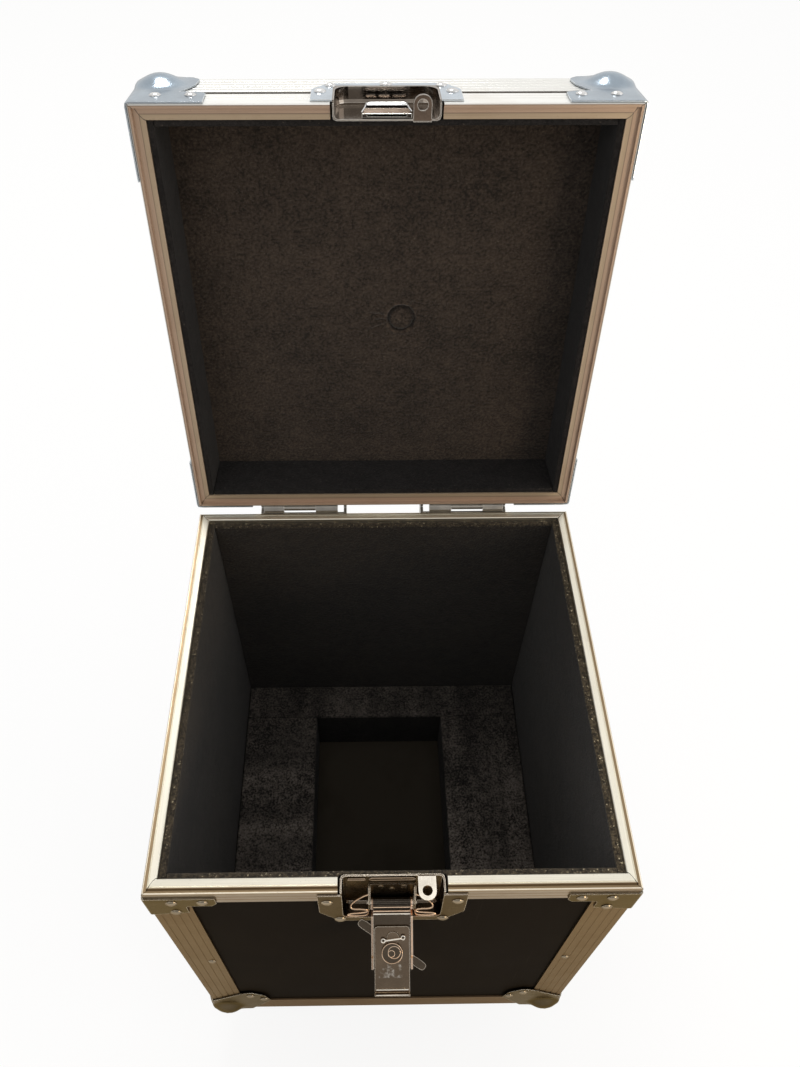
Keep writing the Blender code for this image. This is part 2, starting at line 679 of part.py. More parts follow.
def add_lid_foam():
    across = HALF_WIDTH - PANEL_INNER - CLEARANCE
    along = HALF_DEPTH - PANEL_INNER - CLEARANCE
    ceiling = box((-across, -along, LID_CEILING), (across, along, LID_PANEL_UNDER - CLEARANCE))
    add_lid_part("lid_foam_ceiling", ceiling, dark_foam("lid_foam_ceiling"))
    step = PARTING + LID_REBATE + PROFILE_FLANGE + CLEARANCE
    low = PARTING + LID_REBATE + FOAM_DROP
    under_profile = LID_PROFILE_INNER + CLEARANCE
    head = LID_CEILING - CLEARANCE
    section = [
        (under_profile, low), (FOAM_INNER - 0.001, low), (FOAM_INNER, low + 0.001), (FOAM_INNER, head),
        (FOAM_OUTER, head), (FOAM_OUTER, step), (under_profile, step),
    ]
    pocket = LID_DISH_DEPTH + STEEL_THICKNESS + CLEARANCE - HALF_DEPTH
    high = PARTING + LID_DISH_TOP + STEEL_THICKNESS + CLEARANCE
    hollow = box((-DISH_CUT_HALF, -HALF_DEPTH, PARTING - 0.01), (DISH_CUT_HALF, pocket, high))
    add_lid_part("lid_foam_sides", merged([swept_frame(section)], [hollow]), dark_foam("lid_foam_sides"))


# Hinges

def hinge_leaf(centre, upward, knuckle_spans, facing_spans):
    # Shaped round its own pivot line: a leaf flat on the case, its knuckles and two stay cheeks
    back = -HINGE_PIVOT_BACK + CLEARANCE
    front = back + HINGE_LEAF_THICKNESS
    edge = HINGE_PIVOT_UP + 0.0005 if upward < 0 else -HINGE_PIVOT_UP + 0.0006
    low = edge + HINGE_LEAF_HEIGHT
    left = centre - HINGE_WIDTH / 2
    right = centre + HINGE_WIDTH / 2
    z_near, z_far = sorted((upward * max(edge, 0.0005), upward * low))
    adds = [box((left, back, z_near), (right, front, z_far))]
    cuts = []
    with_pin = upward < 0
    angles = [math.radians(-110 + 270 * k / 10) for k in range(11)]
    curl = [(KNUCKLE_RADIUS * math.cos(a), -upward * KNUCKLE_RADIUS * math.sin(a)) for a in angles]
    leg = upward * (max(edge, 0.0005) + 0.003)
    knuckle = [(back + 0.0001, leg), (-0.0016, leg), *curl, (back + 0.0001, upward * 0.0006)]
    if not with_pin:
        notch = KNUCKLE_RADIUS + 0.0008
        cuts = [box((start - CLEARANCE, back - 0.001, -notch), (end + CLEARANCE, front + 0.001, notch))
                for start, end in facing_spans]
    for start, end in knuckle_spans:
        adds.append(prism(knuckle, "X", start, end))
        if not with_pin:
            cuts.append(rod((start - 0.001, 0, 0), (end + 0.001, 0, 0), HINGE_PIN_RADIUS + CLEARANCE, 14))
    stop = LID_OPEN_ANGLE / 2
    side = Vector((math.cos(stop), upward * math.sin(stop)))
    square = Vector((-side.y, side.x)) * upward
    away = square * CLEARANCE / 2
    root = side * 0.0042 + away
    tip = side * STAY_LENGTH + away
    far_z = upward * low
    cheek = [(back, upward * (max(edge, 0.0005))), tuple(root), tuple(tip), (front + 0.002, far_z), (back, far_z)]
    for start in (left, right - STAY_THICKNESS):
        adds.append(prism(cheek, "X", start, start + STAY_THICKNESS))
    if with_pin:
        first = min(span[0] for span in knuckle_spans)
        last = max(span[1] for span in knuckle_spans)
        adds.append(rod((first + 0.001, 0, 0), (last - 0.001, 0, 0), HINGE_PIN_RADIUS, 14))
    return merged(adds, cuts)


def add_hinges():
    for side, sign in (("left", -1), ("right", 1)):
        centre = sign * HINGE_CENTRE
        marks = [centre + sign * (HINGE_WIDTH / 2 - KNUCKLE_END_GAP)]
        for length in (OUTER_KNUCKLE_LENGTH, MIDDLE_KNUCKLE_LENGTH, INNER_KNUCKLE_LENGTH):
            marks.append(marks[-1] - sign * length)
        base_spans = [tuple(sorted((marks[0], marks[1]))), tuple(sorted((marks[2], marks[3])))]
        lid_span = sorted((marks[1], marks[2]))
        lid_span = (lid_span[0] + CLEARANCE, lid_span[1] - CLEARANCE)
        name = f"{side}_hinge_base_leaf"
        add_part(name, hinge_leaf(centre, -1, base_spans, [lid_span]), zinc_steel(name), location=LID_PIVOT)
        name = f"{side}_hinge_lid_leaf"
        add_part(name, hinge_leaf(centre, 1, [lid_span], base_spans), zinc_steel(name),
                 parent=bpy.data.objects["lid_axis"])


# Latch

def dish_bowl(half_width, depth, far, near, radius):
    # A scooped recess: straight at the parting plane, round at the other corners and along its back edge
    outline = [(-half_width, near), (-half_width, far), (half_width, far), (half_width, near)]
    bm = prism(fillet(outline, [0, radius, radius, 0], 4), "Y", -HALF_DEPTH - CLEARANCE, depth - HALF_DEPTH)
    back = [e for e in bm.edges if all(abs(v.co.y - depth + HALF_DEPTH) < 0.00001 for v in e.verts)]
    back = [e for e in back if not all(abs(v.co.z - near) < 0.00001 for v in e.verts)]
    bmesh.ops.bevel(bm, geom=back, offset=0.003, segments=2, affect="EDGES", profile=0.5)
    return bm


def eye_tab(low, high):
    # A tongue with a padlock hole, bent forward from the dish's back wall
    left = EYE_CENTRE - EYE_TAB_WIDTH / 2
    right = EYE_CENTRE + EYE_TAB_WIDTH / 2
    back = DISH_DEPTH + 0.0006 - HALF_DEPTH
    nose = -EYE_TAB_REACH - HALF_DEPTH
    outline = fillet([(left, back), (left, nose), (right, nose), (right, back)], [0, 0.0062, 0.0062, 0], 4)
    return prism(outline, "Z", low, high)


def eye_hole():
    middle = (EYE_CENTRE, EYE_DEPTH - HALF_DEPTH)
    return prism(circle(middle, EYE_RADIUS, 20), "Z", PARTING - 0.01, PARTING + 0.01)


def pressed_dish(flange, lip, depth, far, rim, radius):
    # A flange laid on the case's front and the recess pressed into it; rim is the edge at the parting plane
    outward = 1 if far > rim else -1
    shell = dish_bowl(DISH_HALF_WIDTH + STEEL_THICKNESS, depth + STEEL_THICKNESS,
                      far + outward * STEEL_THICKNESS, rim, radius + STEEL_THICKNESS)
    plate = prism(flange, "Y", -HALF_DEPTH - STEEL_FACE, -HALF_DEPTH - CLEARANCE)
    bowl = dish_bowl(DISH_HALF_WIDTH, depth, far, rim - outward * 0.01, radius)
    bmesh.ops.translate(bowl, verts=[v for v in bowl.verts if v.co.y < -HALF_DEPTH], vec=(0, -0.004, 0))
    return [plate, shell, *lip], [bowl]


def add_base_dish():
    top = PARTING - FLANGE_TOP
    low = PARTING - FLANGE_BOTTOM
    flange = fillet(
        [(-FLANGE_HALF_WIDTH, top), (-FLANGE_HALF_WIDTH, top - 0.041), (-0.041, low), (0.041, low),
         (FLANGE_HALF_WIDTH, top - 0.041), (FLANGE_HALF_WIDTH, top)], [0.001, 0.006, 0.006, 0.006, 0.006, 0.001], 2)
    rim = PARTING - CLEARANCE
    bead = prism(fillet([(-0.0175, rim - 0.0075), (0.0175, rim - 0.0075), (0.0175, rim - 0.0030),
                         (-0.0175, rim - 0.0030)], 0.0022, 3), "Y",
                 DISH_DEPTH - 0.0008 - HALF_DEPTH, DISH_DEPTH + 0.0006 - HALF_DEPTH)
    foot_low = low + 0.0006
    foot = box((-0.036, -HALF_DEPTH - 0.0006, foot_low),
               (0.036, PANEL_OUTER - CLEARANCE - HALF_DEPTH, foot_low + STEEL_THICKNESS))
    adds, cuts = pressed_dish(flange, [foot], DISH_DEPTH, PARTING - DISH_BOTTOM, rim, 0.007)
    mesh = merged(adds, cuts)
    whole = bmesh.new()
    whole.from_mesh(mesh)
    mesh = merged([whole, bead, eye_tab(rim - 0.0015, rim)], [eye_hole()])
    add_part("latch_dish", mesh, zinc_steel("latch_dish"))


def add_lid_dish():
    low = PARTING + 0.005
    top = PARTING + LID_FLANGE_TOP
    half = FLANGE_HALF_WIDTH - 0.001
    flange = fillet(
        [(-half, low), (-half, PARTING + 0.033), (-0.044, top), (0.044, top), (half, PARTING + 0.033), (half, low)],
        [0.001, 0.005, 0.006, 0.006, 0.005, 0.001], 2)
    rim = PARTING + CLEARANCE
    adds, cuts = pressed_dish(flange, [], LID_DISH_DEPTH, PARTING + LID_DISH_TOP, rim, 0.010)
    mesh = merged(adds, cuts)
    whole = bmesh.new()
    whole.from_mesh(mesh)
    slots = [box((-0.0165 + 0.0115 * k, -HALF_DEPTH + LID_DISH_DEPTH - 0.0008, PARTING + 0.0245),
                 (-0.0065 + 0.0115 * k, -HALF_DEPTH + LID_DISH_DEPTH + 0.0006, PARTING + 0.0265)) for k in range(3)]
    mesh = merged([whole, eye_tab(rim, rim + 0.0015), *slots], [eye_hole()])
    add_lid_part("lid_latch_dish", mesh, zinc_steel("lid_latch_dish"))


def add_keeper():
    # The catch that the hook pulls on: a hood that flares at its foot, with a slot along its top
    wall = LID_DISH_DEPTH - CLEARANCE - HALF_DEPTH
    front = LATCH_PIVOT_DEPTH - KEEPER_OFFSET - HALF_DEPTH
    top = PARTING + LATCH_CLOSED_LIP - 0.0004
    foot = PARTING + KEEPER_FOOT
    side = [(wall, foot), (front + 0.0022, foot), (front, foot + 0.006), (front, top - 0.001),
            (front + 0.001, top), (wall, top)]
    hood = prism(side, "X", -0.0185, 0.0185)
    trims = []
    for sign in (-1, 1):
        slope = [(sign * 0.0161, top + 0.001), (sign * 0.0161, foot + 0.007), (sign * 0.0186, foot - 0.001),
                 (sign * 0.022, foot - 0.001), (sign * 0.022, top + 0.001)]
        trims.append(prism(slope, "Y", front - 0.001, wall + 0.001))
    slot = prism(fillet([(-0.0147, front + 0.0012), (0.0147, front + 0.0012), (0.0147, wall - 0.0009),
                         (-0.0147, wall - 0.0009)], 0.0008, 2), "Z", top - 0.009, top + 0.001)
    mouth = box((-0.0145, front + 0.0026, foot - 0.001), (0.0145, wall - 0.0009, foot + 0.0055))
    mesh = merged([hood], trims + [slot, mouth])
    add_lid_part("latch_keeper", mesh, zinc_steel("latch_keeper"))


def add_yoke():
    # Two cheeks and a riveted back plate carry the pin that the arm swings on
    centre = LATCH_PIVOT
    wall = DISH_DEPTH - CLEARANCE - HALF_DEPTH
    high = PARTING - YOKE_TOP
    low = centre.z - 0.0075
    nose = centre.y - 0.0042
    outside = CHEEK_INSIDE + ARM_SHEET
    plan = [(-outside, nose), (-CHEEK_INSIDE, nose), (-CHEEK_INSIDE, wall - ARM_SHEET),
            (CHEEK_INSIDE, wall - ARM_SHEET), (CHEEK_INSIDE, nose), (outside, nose), (outside, wall),
            (-outside, wall)]
    bent = prism(fillet(plan, [0, 0, 0, 0, 0, 0, 0.0014, 0.0014], 2), "Z", low, high)
    slope = [(nose - 0.002, centre.z + 0.007), (nose + 0.0003, centre.z + 0.007), (wall - 0.0035, high - 0.002),
             (wall - 0.0035, high + 0.002), (nose - 0.002, high + 0.002)]
    chin = [(nose - 0.002, low - 0.001), (nose + 0.004, low - 0.001), (nose - 0.001, low + 0.003),
            (nose - 0.002, low + 0.003)]
    end = CHEEK_INSIDE + ARM_SHEET + 0.0012
    pin = rod((-end, centre.y, centre.z), (end, centre.y, centre.z), LATCH_PIN_RADIUS, 14)
    rivets = [rod((x, wall - ARM_SHEET - 0.0008, z), (x, wall - 0.0008, z), 0.0022, 12)
              for x, z in ((-0.009, high - 0.0045), (0.009, high - 0.0045), (0, high - 0.010))]
    trims = [prism(outline, "X", -outside - 0.001, outside + 0.001) for outline in (slope, chin)]
    mesh = merged([bent, pin, *rivets], trims)
    add_part("latch_yoke", mesh, zinc_steel("latch_yoke"))


def add_latch_spring():
    # One bent wire: an upper loop and a lower hairpin on each side, joined under the yoke
    pivot = LATCH_PIVOT
    half = [
        (-0.0195, 0.0035, 0.0190), (-0.0255, 0.0032, 0.0170), (-0.0310, 0.0022, 0.0120), (-0.0335, 0.0005, 0.0075),
        (-0.0310, -0.0012, 0.0042), (-0.0255, -0.0020, 0.0030), (-0.0222, -0.0020, 0.0008),
        (-0.0222, -0.0005, -0.0030), (-0.0260, 0.0000, -0.0050), (-0.0320, 0.0000, -0.0060),
        (-0.0350, 0.0005, -0.0078), (-0.0320, 0.0010, -0.0092), (-0.0250, 0.0015, -0.0092),
        (-0.0185, 0.0020, -0.0085), (-0.0080, 0.0022, -0.0085),
    ]
    route = half + [(-x, y, z) for x, y, z in reversed(half)]
    points = smooth_route([pivot + Vector(p) for p in route], 2)
    curve = bpy.data.curves.new("latch_spring", "CURVE")
    curve.dimensions = "3D"
    curve.bevel_depth = SPRING_WIRE
    curve.bevel_resolution = 1
    curve.use_fill_caps = True
    spline = curve.splines.new("POLY")
    spline.points.add(len(points) - 1)
    for place, point in zip(points, spline.points):
        point.co = (*place, 1)
    curve.materials.append(zinc_steel("latch_spring"))
    wire = bpy.data.objects.new("latch_spring", curve)
    bpy.context.scene.collection.objects.link(wire)
    apart = [(a - b).length for i, a in enumerate(points) for b in points[i + 5:]]
    print("latch spring: least gap to itself", round(1000 * (min(apart) - 2 * SPRING_WIRE), 2), "mm")


def add_latch_arm():
    # Shaped closed and upright: Z runs along the arm from its pin, and -Y is its outer face
    axis = add_axis("latch_arm_axis", LATCH_PIVOT, (LATCH_OPEN_ANGLE, 0, 0))
    face = -ARM_FACE_OFFSET
    plate = box((-ARM_HALF_WIDTH, face, 0), (ARM_HALF_WIDTH, face + ARM_SHEET, ARM_LENGTH))
    barrel = rod((-ARM_HALF_WIDTH, 0, 0), (ARM_HALF_WIDTH, 0, 0), LATCH_BARREL_RADIUS, 16)
    rail_top = face + ARM_SHEET + ARM_RAIL_DEPTH
    rail_low = -KEEPER_OFFSET - CLEARANCE
    passing = LATCH_PIVOT_DROP + KEEPER_FOOT - 0.001
    rail_side = fillet([(face + 0.0002, ARM_RAIL_START - 0.004), (rail_top, ARM_RAIL_START),
                        (rail_top, passing - 0.004), (rail_low, passing), (rail_low, ARM_LENGTH),
                        (face + 0.0002, ARM_LENGTH)], [0, 0.002, 0.002, 0.001, 0, 0], 2)
    rails = [prism(rail_side, "X", x, x + ARM_SHEET) for x in (-ARM_HALF_WIDTH, ARM_HALF_WIDTH - ARM_SHEET)]
    bore = rod((-0.03, 0, 0), (0.03, 0, 0), LATCH_PIN_RADIUS + CLEARANCE, 14)
    shaft_hole = prism(circle((0, TURN_CENTRE), TURN_SHAFT_RADIUS + CLEARANCE, 16), "Y", face - 0.001, face + 0.003)
    mesh = merged([plate, barrel, *rails], [bore, shaft_hole])
    add_part("latch_arm", mesh, zinc_steel("latch_arm"), parent=axis)

    back = face + ARM_SHEET + CLEARANCE
    front = back + ARM_SHEET
    blade = prism(fillet([(-HOOK_HALF_WIDTH, HOOK_START), (HOOK_HALF_WIDTH, HOOK_START),
                          (HOOK_HALF_WIDTH, HOOK_END), (-HOOK_HALF_WIDTH, HOOK_END)], [0.002, 0.002, 0, 0], 2),
                  "Y", back, front)
    lip = prism(fillet([(back, HOOK_END - ARM_SHEET), (front + HOOK_LIP_REACH, HOOK_END - ARM_SHEET),
                        (front + HOOK_LIP_REACH, HOOK_END), (back, HOOK_END)], [0, 0.0004, 0.0004, 0.0013], 2),
                "X", -HOOK_HALF_WIDTH, HOOK_HALF_WIDTH)
    play = TURN_SHAFT_RADIUS + CLEARANCE
    low = TURN_CENTRE - play
    high = TURN_CENTRE + HOOK_STROKE + play
    slot = prism(fillet([(-play, low), (play, low), (play, high), (-play, high)], play * 0.999, 4),
                 "Y", back - 0.001, front + 0.001)
    mesh = merged([blade, lip], [slot])
    add_part("latch_hook_plate", mesh, zinc_steel("latch_hook_plate"), parent=axis)

    turn_axis = add_axis("butterfly_axis", (0, 0, TURN_CENTRE), (0, -TURN_REST_ANGLE, 0), axis)
    outside = face - CLEARANCE
    wide = TURN_HALF_WIDTH
    waist = wide - 0.0006
    tip = TURN_HALF_SPAN
    half = [(0.006, -waist), (0.027, -wide), (tip, -waist), (tip, waist), (0.027, wide), (0.006, waist)]
    wings = fillet(half + [(-x, -z) for x, z in half], [0, 0.004, 0.002, 0.002, 0.004, 0] * 2, 2)
    plate = prism(wings, "Y", outside - ARM_SHEET, outside)
    hub = prism(circle((0, 0), 0.0068, 16), "Y", outside - ARM_SHEET - 0.0008, outside)
    shaft = prism(circle((0, 0), TURN_SHAFT_RADIUS, 16), "Y", outside - 0.0005, front + 0.0016)
    disc_at = (CAM_OFFSET * math.sin(TURN_REST_ANGLE), CAM_OFFSET * math.cos(TURN_REST_ANGLE))
    disc = prism(circle(disc_at, CAM_RADIUS, 20), "Y", front + CLEARANCE, front + CLEARANCE + 0.0013)
    mesh = merged([plate, hub, shaft, disc])
    add_part("latch_butterfly", mesh, zinc_steel("latch_butterfly"), parent=turn_axis)


# Side handles

def add_handles():
    for side, sign in (("left", -1), ("right", 1)):
        wall = HALF_WIDTH - PANEL_OUTER + CLEARANCE
        pivot_x = sign * (wall + HANDLE_PLATE_THICKNESS + HANDLE_GRIP_RADIUS + HANDLE_ROD_GAP)
        pivot_z = PARTING - HANDLE_DROP
        turn = 0 if sign > 0 else math.pi
        half = HANDLE_PLATE_HALF_LENGTH
        high = HANDLE_PLATE_RISE
        low = high - HANDLE_PLATE_HEIGHT
        back = -(HANDLE_PLATE_THICKNESS + HANDLE_GRIP_RADIUS + HANDLE_ROD_GAP)
        outline = fillet([(-half, low), (half, low), (half, high), (-half, high)], 0.008, 3)
        plate = prism(outline, "X", back, back + HANDLE_PLATE_THICKNESS)
        ears = []
        holes = []
        for end in (-1, 1):
            y = end * HANDLE_HALF_SPAN
            near, far = sorted((y + end * EAR_INNER, y + end * EAR_OUTER))
            ear = fillet([(back + 0.0004, -0.007), (0.0052, -0.0052), (0.0052, 0.0052), (back + 0.0004, 0.007)],
                         [0, 0.005, 0.005, 0], 3)
            ears.append(prism(ear, "Y", near, far))
            holes.append(rod((0, near - 0.001, 0), (0, far + 0.001, 0), HANDLE_ROD_RADIUS + CLEARANCE, 14))
        axis = add_axis(f"{side}_handle_axis", (pivot_x, 0, pivot_z), (0, 0, turn))
        name = f"{side}_handle_plate"
        add_part(name, merged([plate, *ears], holes), zinc_steel(name), parent=axis)
        name = f"{side}_handle_bail"
        add_part(name, bail_shape(), zinc_steel(name), parent=axis)


def bail_shape():
    # A bent rod: a stub in each ear, a leg down each side and a thicker grip between the legs
    span = HANDLE_HALF_SPAN
    fall = HANDLE_FALL
    stub = span + 0.0105
    radius = HANDLE_ROD_RADIUS
    adds = [rod((0, -stub, 0), (0, -span + 0.0022, 0), radius, 12)]
    adds.append(rod((0, span - 0.0022, 0), (0, stub, 0), radius, 12))
    for end in (-1, 1):
        adds.append(rod((0, end * span, 0.0030), (0, end * span, -fall + 0.0005), radius - 0.0002, 10))
    adds.append(rod((0, -span - 0.0030, -fall), (0, span + 0.0030, -fall), radius + 0.0001, 12))
    half_grip = [(HANDLE_GRIP_RADIUS, 0.036), (HANDLE_GRIP_RADIUS - 0.001, 0.038), (0.0030, 0.038)]
    sleeve = turned([(r, -z) for r, z in reversed(half_grip)] + half_grip, 14)
    bmesh.ops.rotate(sleeve, verts=sleeve.verts, matrix=Matrix.Rotation(math.pi / 2, 3, "X"))
    bmesh.ops.translate(sleeve, verts=sleeve.verts, vec=(0, 0, -fall))
    adds.append(sleeve)
    return merged(adds)


# Castors

def wheel_shape():
    # A crowned tread on a hub that is a little wider than the tyre
    half = WHEEL_HALF_WIDTH
    hub = half + FORK_SIDE_GAP - CLEARANCE
    rim = WHEEL_RADIUS
    half_profile = [(rim, half - 0.003), (rim - 0.002, half), (rim - 0.006, half), (rim - 0.007, half - 0.0025),
                    (0.0090, half - 0.003), (0.0085, hub), (AXLE_RADIUS + CLEARANCE, hub)]
    profile = [(r, -z) for r, z in reversed(half_profile)] + half_profile
    wheel = turned(profile, WHEEL_SIDES)
    flat = Matrix.Rotation(math.pi / WHEEL_SIDES, 3, "Z")
    bmesh.ops.rotate(wheel, verts=wheel.verts, matrix=flat)
    bmesh.ops.rotate(wheel, verts=wheel.verts, matrix=Matrix.Rotation(math.pi / 2, 3, "Y"))
    return wheel


def fork_parts(top, trail):
    # Two legs that taper to the axle, and the axle bolt with a nut at each end
    nose = AXLE_LUG
    side = fillet([(-FORK_FRONT, top), (FORK_BACK, top), (trail + nose, -AXLE_DROP + 0.003), (trail + nose, -AXLE_DROP - nose),
                   (trail - nose, -AXLE_DROP - nose), (trail - nose, -AXLE_DROP + 0.004)],
                  [0, 0.004, 0.006, 0.009, 0.009, 0.006], 2)
    legs = [prism(side, "X", x, x + FORK_SHEET) for x in (-FORK_INSIDE - FORK_SHEET, FORK_INSIDE)]
    end = FORK_INSIDE + FORK_SHEET
    axle = rod((-end - 0.004, trail, -AXLE_DROP), (end + 0.004, trail, -AXLE_DROP), AXLE_RADIUS, 12)
    nuts = [rod((s * (end - 0.0005), trail, -AXLE_DROP), (s * (end + 0.003), trail, -AXLE_DROP), 0.0065, 6)
            for s in (-1, 1)]
    return [*legs, axle, *nuts]


def castor_plate_outline():
    half = CASTOR_PLATE_HALF
    return fillet([(-half, -half), (half, -half), (half, half), (-half, half)], 0.006, 3)


def add_castors():
    top = -CLEARANCE
    under = top - CASTOR_PLATE_THICKNESS
    race = under - RACE_HEIGHT
    web_top = race - CLEARANCE
    web = web_top - FORK_CROWN_HEIGHT
    for k, name in enumerate(CORNER_NAMES):
        sx, sy = CORNER_SIGNS[k]
        x = sx * (HALF_WIDTH - CASTOR_INSET)
        y = sy * (HALF_DEPTH - CASTOR_INSET)
        swivels = sy < 0
        trail = CASTOR_TRAIL if swivels else 0
        plate = prism(castor_plate_outline(), "Z", under, top)
        if swivels:
            ring = rod((0, 0, race), (0, 0, under + 0.0005), RACE_RADIUS, 18)
            pin = rod((0, 0, web - 0.0040), (0, 0, race + 0.0005), KING_PIN_RADIUS, 12)
            head = rod((0, 0, web - 0.0045), (0, 0, web - 0.0004), 0.0085, 12)
            part = f"{name}_castor_plate"
            add_part(part, merged([plate, ring, pin, head]), zinc_steel(part), location=(x, y, 0))
            end = FORK_INSIDE + FORK_SHEET
            crown = rod((0, 0, web), (0, 0, web_top), RACE_RADIUS + 0.0005, 18)
            bridge = box((-end, -FORK_FRONT, web), (end, FORK_BACK, web + FORK_SHEET))
            bore = rod((0, 0, web - 0.002), (0, 0, web_top + 0.002), KING_PIN_RADIUS + CLEARANCE, 12)
            fork = merged([bridge, crown, *fork_parts(web + FORK_SHEET, trail)], [bore])
            axis = add_axis(f"{name}_swivel_axis", (x, y, 0))
            part = f"{name}_castor_fork"
            add_part(part, fork, zinc_steel(part), parent=axis)
        else:
            part = f"{name}_castor_housing"
            housing = merged([plate, *fork_parts(under + 0.001, trail)])
            add_part(part, housing, zinc_steel(part), location=(x, y, 0))
        part = f"{name}_castor_wheel"
        add_part(part, wheel_shape(), grey_rubber(part), location=(x, y + trail, -AXLE_DROP))


def clear_scene():
    for obj in list(bpy.data.objects):
        bpy.data.objects.remove(obj)


def build():
    clear_scene()
    add_axis("lid_axis", LID_PIVOT, (-LID_OPEN_ANGLE, 0, 0))
    add_base_panels()
    add_base_extrusions()
    add_braces()
    add_ball_corners()
    add_base_foam()
    add_lid_shell()
    add_lid_corners()
    add_lid_foam()
    add_hinges()
    add_base_dish()
    add_yoke()
    add_latch_spring()
    add_latch_arm()
    add_lid_dish()
    add_keeper()
    add_handles()
    add_castors()


build()
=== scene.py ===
import math
from functools import partial

import bmesh
import bpy
from mathutils import Matrix, Vector, noise


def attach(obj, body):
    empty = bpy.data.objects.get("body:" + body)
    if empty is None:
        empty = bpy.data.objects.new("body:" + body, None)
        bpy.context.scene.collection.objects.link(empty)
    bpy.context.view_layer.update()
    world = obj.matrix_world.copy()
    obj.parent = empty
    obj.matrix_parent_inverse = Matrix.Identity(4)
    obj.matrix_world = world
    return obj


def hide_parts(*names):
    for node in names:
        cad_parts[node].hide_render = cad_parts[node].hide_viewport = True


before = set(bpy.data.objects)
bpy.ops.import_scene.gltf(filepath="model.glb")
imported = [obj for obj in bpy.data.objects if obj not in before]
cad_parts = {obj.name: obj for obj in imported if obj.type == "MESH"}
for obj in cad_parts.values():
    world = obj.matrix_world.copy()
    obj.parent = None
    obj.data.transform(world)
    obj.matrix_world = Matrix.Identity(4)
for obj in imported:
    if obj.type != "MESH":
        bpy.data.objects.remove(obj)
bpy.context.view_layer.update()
print("frame loaded:", len(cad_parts), "nodes")

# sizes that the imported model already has, in metres
case = {
    "half": 0.188,  # half the width, and half the depth
    "underside": -0.0018,
    "parting": 0.4052,  # where base and lid meet
    "lidTop": 0.4732,
    "floor": -0.0700,
    "hinge": (0, 0.1927, 0.4090),
    "lidAngle": 98.7,
}
hingePoint = Vector(case["hinge"])
lidTurn = Matrix.Rotation(math.radians(-case["lidAngle"]), 4, "X")
openLid = Matrix.Translation(hingePoint) @ lidTurn @ Matrix.Translation(-hingePoint)
latchPivot = Vector((0, -0.1820, 0.3612))
armOpen = 129  # degrees that the latch arm hangs down from closed
armTurn = Matrix.Rotation(math.radians(armOpen), 4, "X")
cornerSigns = {"front_left": (-1, -1), "front_right": (1, -1), "back_right": (1, 1), "back_left": (-1, 1)}


# camera, fitted to the photograph's edges and corners
view = {
    "lens": 28.65,
    "place": (-0.01702, -0.38488, 1.06164),
    "turn": (39.022, -0.162, -0.752),
    "shift": (0.0224, 0.0095),
}
cameraData = bpy.data.cameras.new("caseCamera")
cameraData.lens = view["lens"]
cameraData.sensor_width = 36
cameraData.shift_x, cameraData.shift_y = view["shift"]
cameraData.clip_start, cameraData.clip_end = 0.01, 60
camera = bpy.data.objects.new("caseCamera", cameraData)
camera.location = view["place"]
camera.rotation_euler = [math.radians(angle) for angle in view["turn"]]
bpy.context.scene.collection.objects.link(camera)
bpy.context.scene.camera = camera


# small helpers for meshes

def addPiece(name, mesh):
    piece = bpy.data.objects.new(name, mesh)
    bpy.context.scene.collection.objects.link(piece)
    return piece


def meshOf(name, points, faces):
    mesh = bpy.data.meshes.new(name)
    mesh.from_pydata([tuple(point) for point in points], [], faces)
    return mesh


def facingOut(mesh, weld=0.000001):
    tidy = bmesh.new()
    tidy.from_mesh(mesh)
    bmesh.ops.remove_doubles(tidy, verts=tidy.verts, dist=weld)
    bmesh.ops.recalc_face_normals(tidy, faces=tidy.faces)
    tidy.to_mesh(mesh)
    tidy.free()
    return mesh


def settle(piece):
    # live modifiers become a plain mesh
    bpy.context.view_layer.update()
    graph = bpy.context.evaluated_depsgraph_get()
    plain = bpy.data.meshes.new_from_object(piece.evaluated_get(graph))
    if piece.type != "MESH":
        name = piece.name
        bpy.data.objects.remove(piece)
        return addPiece(name, plain)
    piece.modifiers.clear()
    piece.data = plain
    return piece


def dress(piece, material, body, replaced=(), sharp=40):
    piece.data.materials.clear()
    piece.data.materials.append(material)
    piece.data.shade_smooth()
    piece.data.set_sharp_from_angle(angle=math.radians(sharp))
    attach(piece, body)
    if replaced:
        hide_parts(*replaced)
    return piece


def roundedOutline(points, radii, steps=4):
    # an open path whose inner corners become arcs
    path = [Vector(points[0])]
    for before, corner, after, radius in zip(points, points[1:], points[2:], radii):
        corner = Vector(corner)
        if radius == 0:
            path.append(corner)
            continue
        back = (Vector(before) - corner).normalized()
        ahead = (Vector(after) - corner).normalized()
        half = back.angle(ahead) / 2
        reach = radius / math.tan(half)
        centre = corner + (back + ahead).normalized() * radius / math.sin(half)
        start = corner + back * reach - centre
        end = corner + ahead * reach - centre
        for step in range(steps + 1):
            share = step / steps
            spoke = (start * (1 - share) + end * share).normalized() * radius
            path.append(centre + spoke)
    path.append(Vector(points[-1]))
    return path


def smoothMax(a, b, blend):
    near = max(blend - abs(a - b), 0) / blend
    return max(a, b) + near * near * blend / 4


def smoothPath(points, steps):
    points = [Vector(point) for point in points]
    padded = [points[0], *points, points[-1]]
    path = []
    for a, b, c, d in zip(padded, padded[1:], padded[2:], padded[3:]):
        for step in range(steps):
            t = step / steps
            path.append(0.5 * (2 * b + (c - a) * t + (2 * a - 5 * b + 4 * c - d) * t ** 2
                               + (3 * b - a - 3 * c + d) * t ** 3))
    path.append(points[-1])
    return path


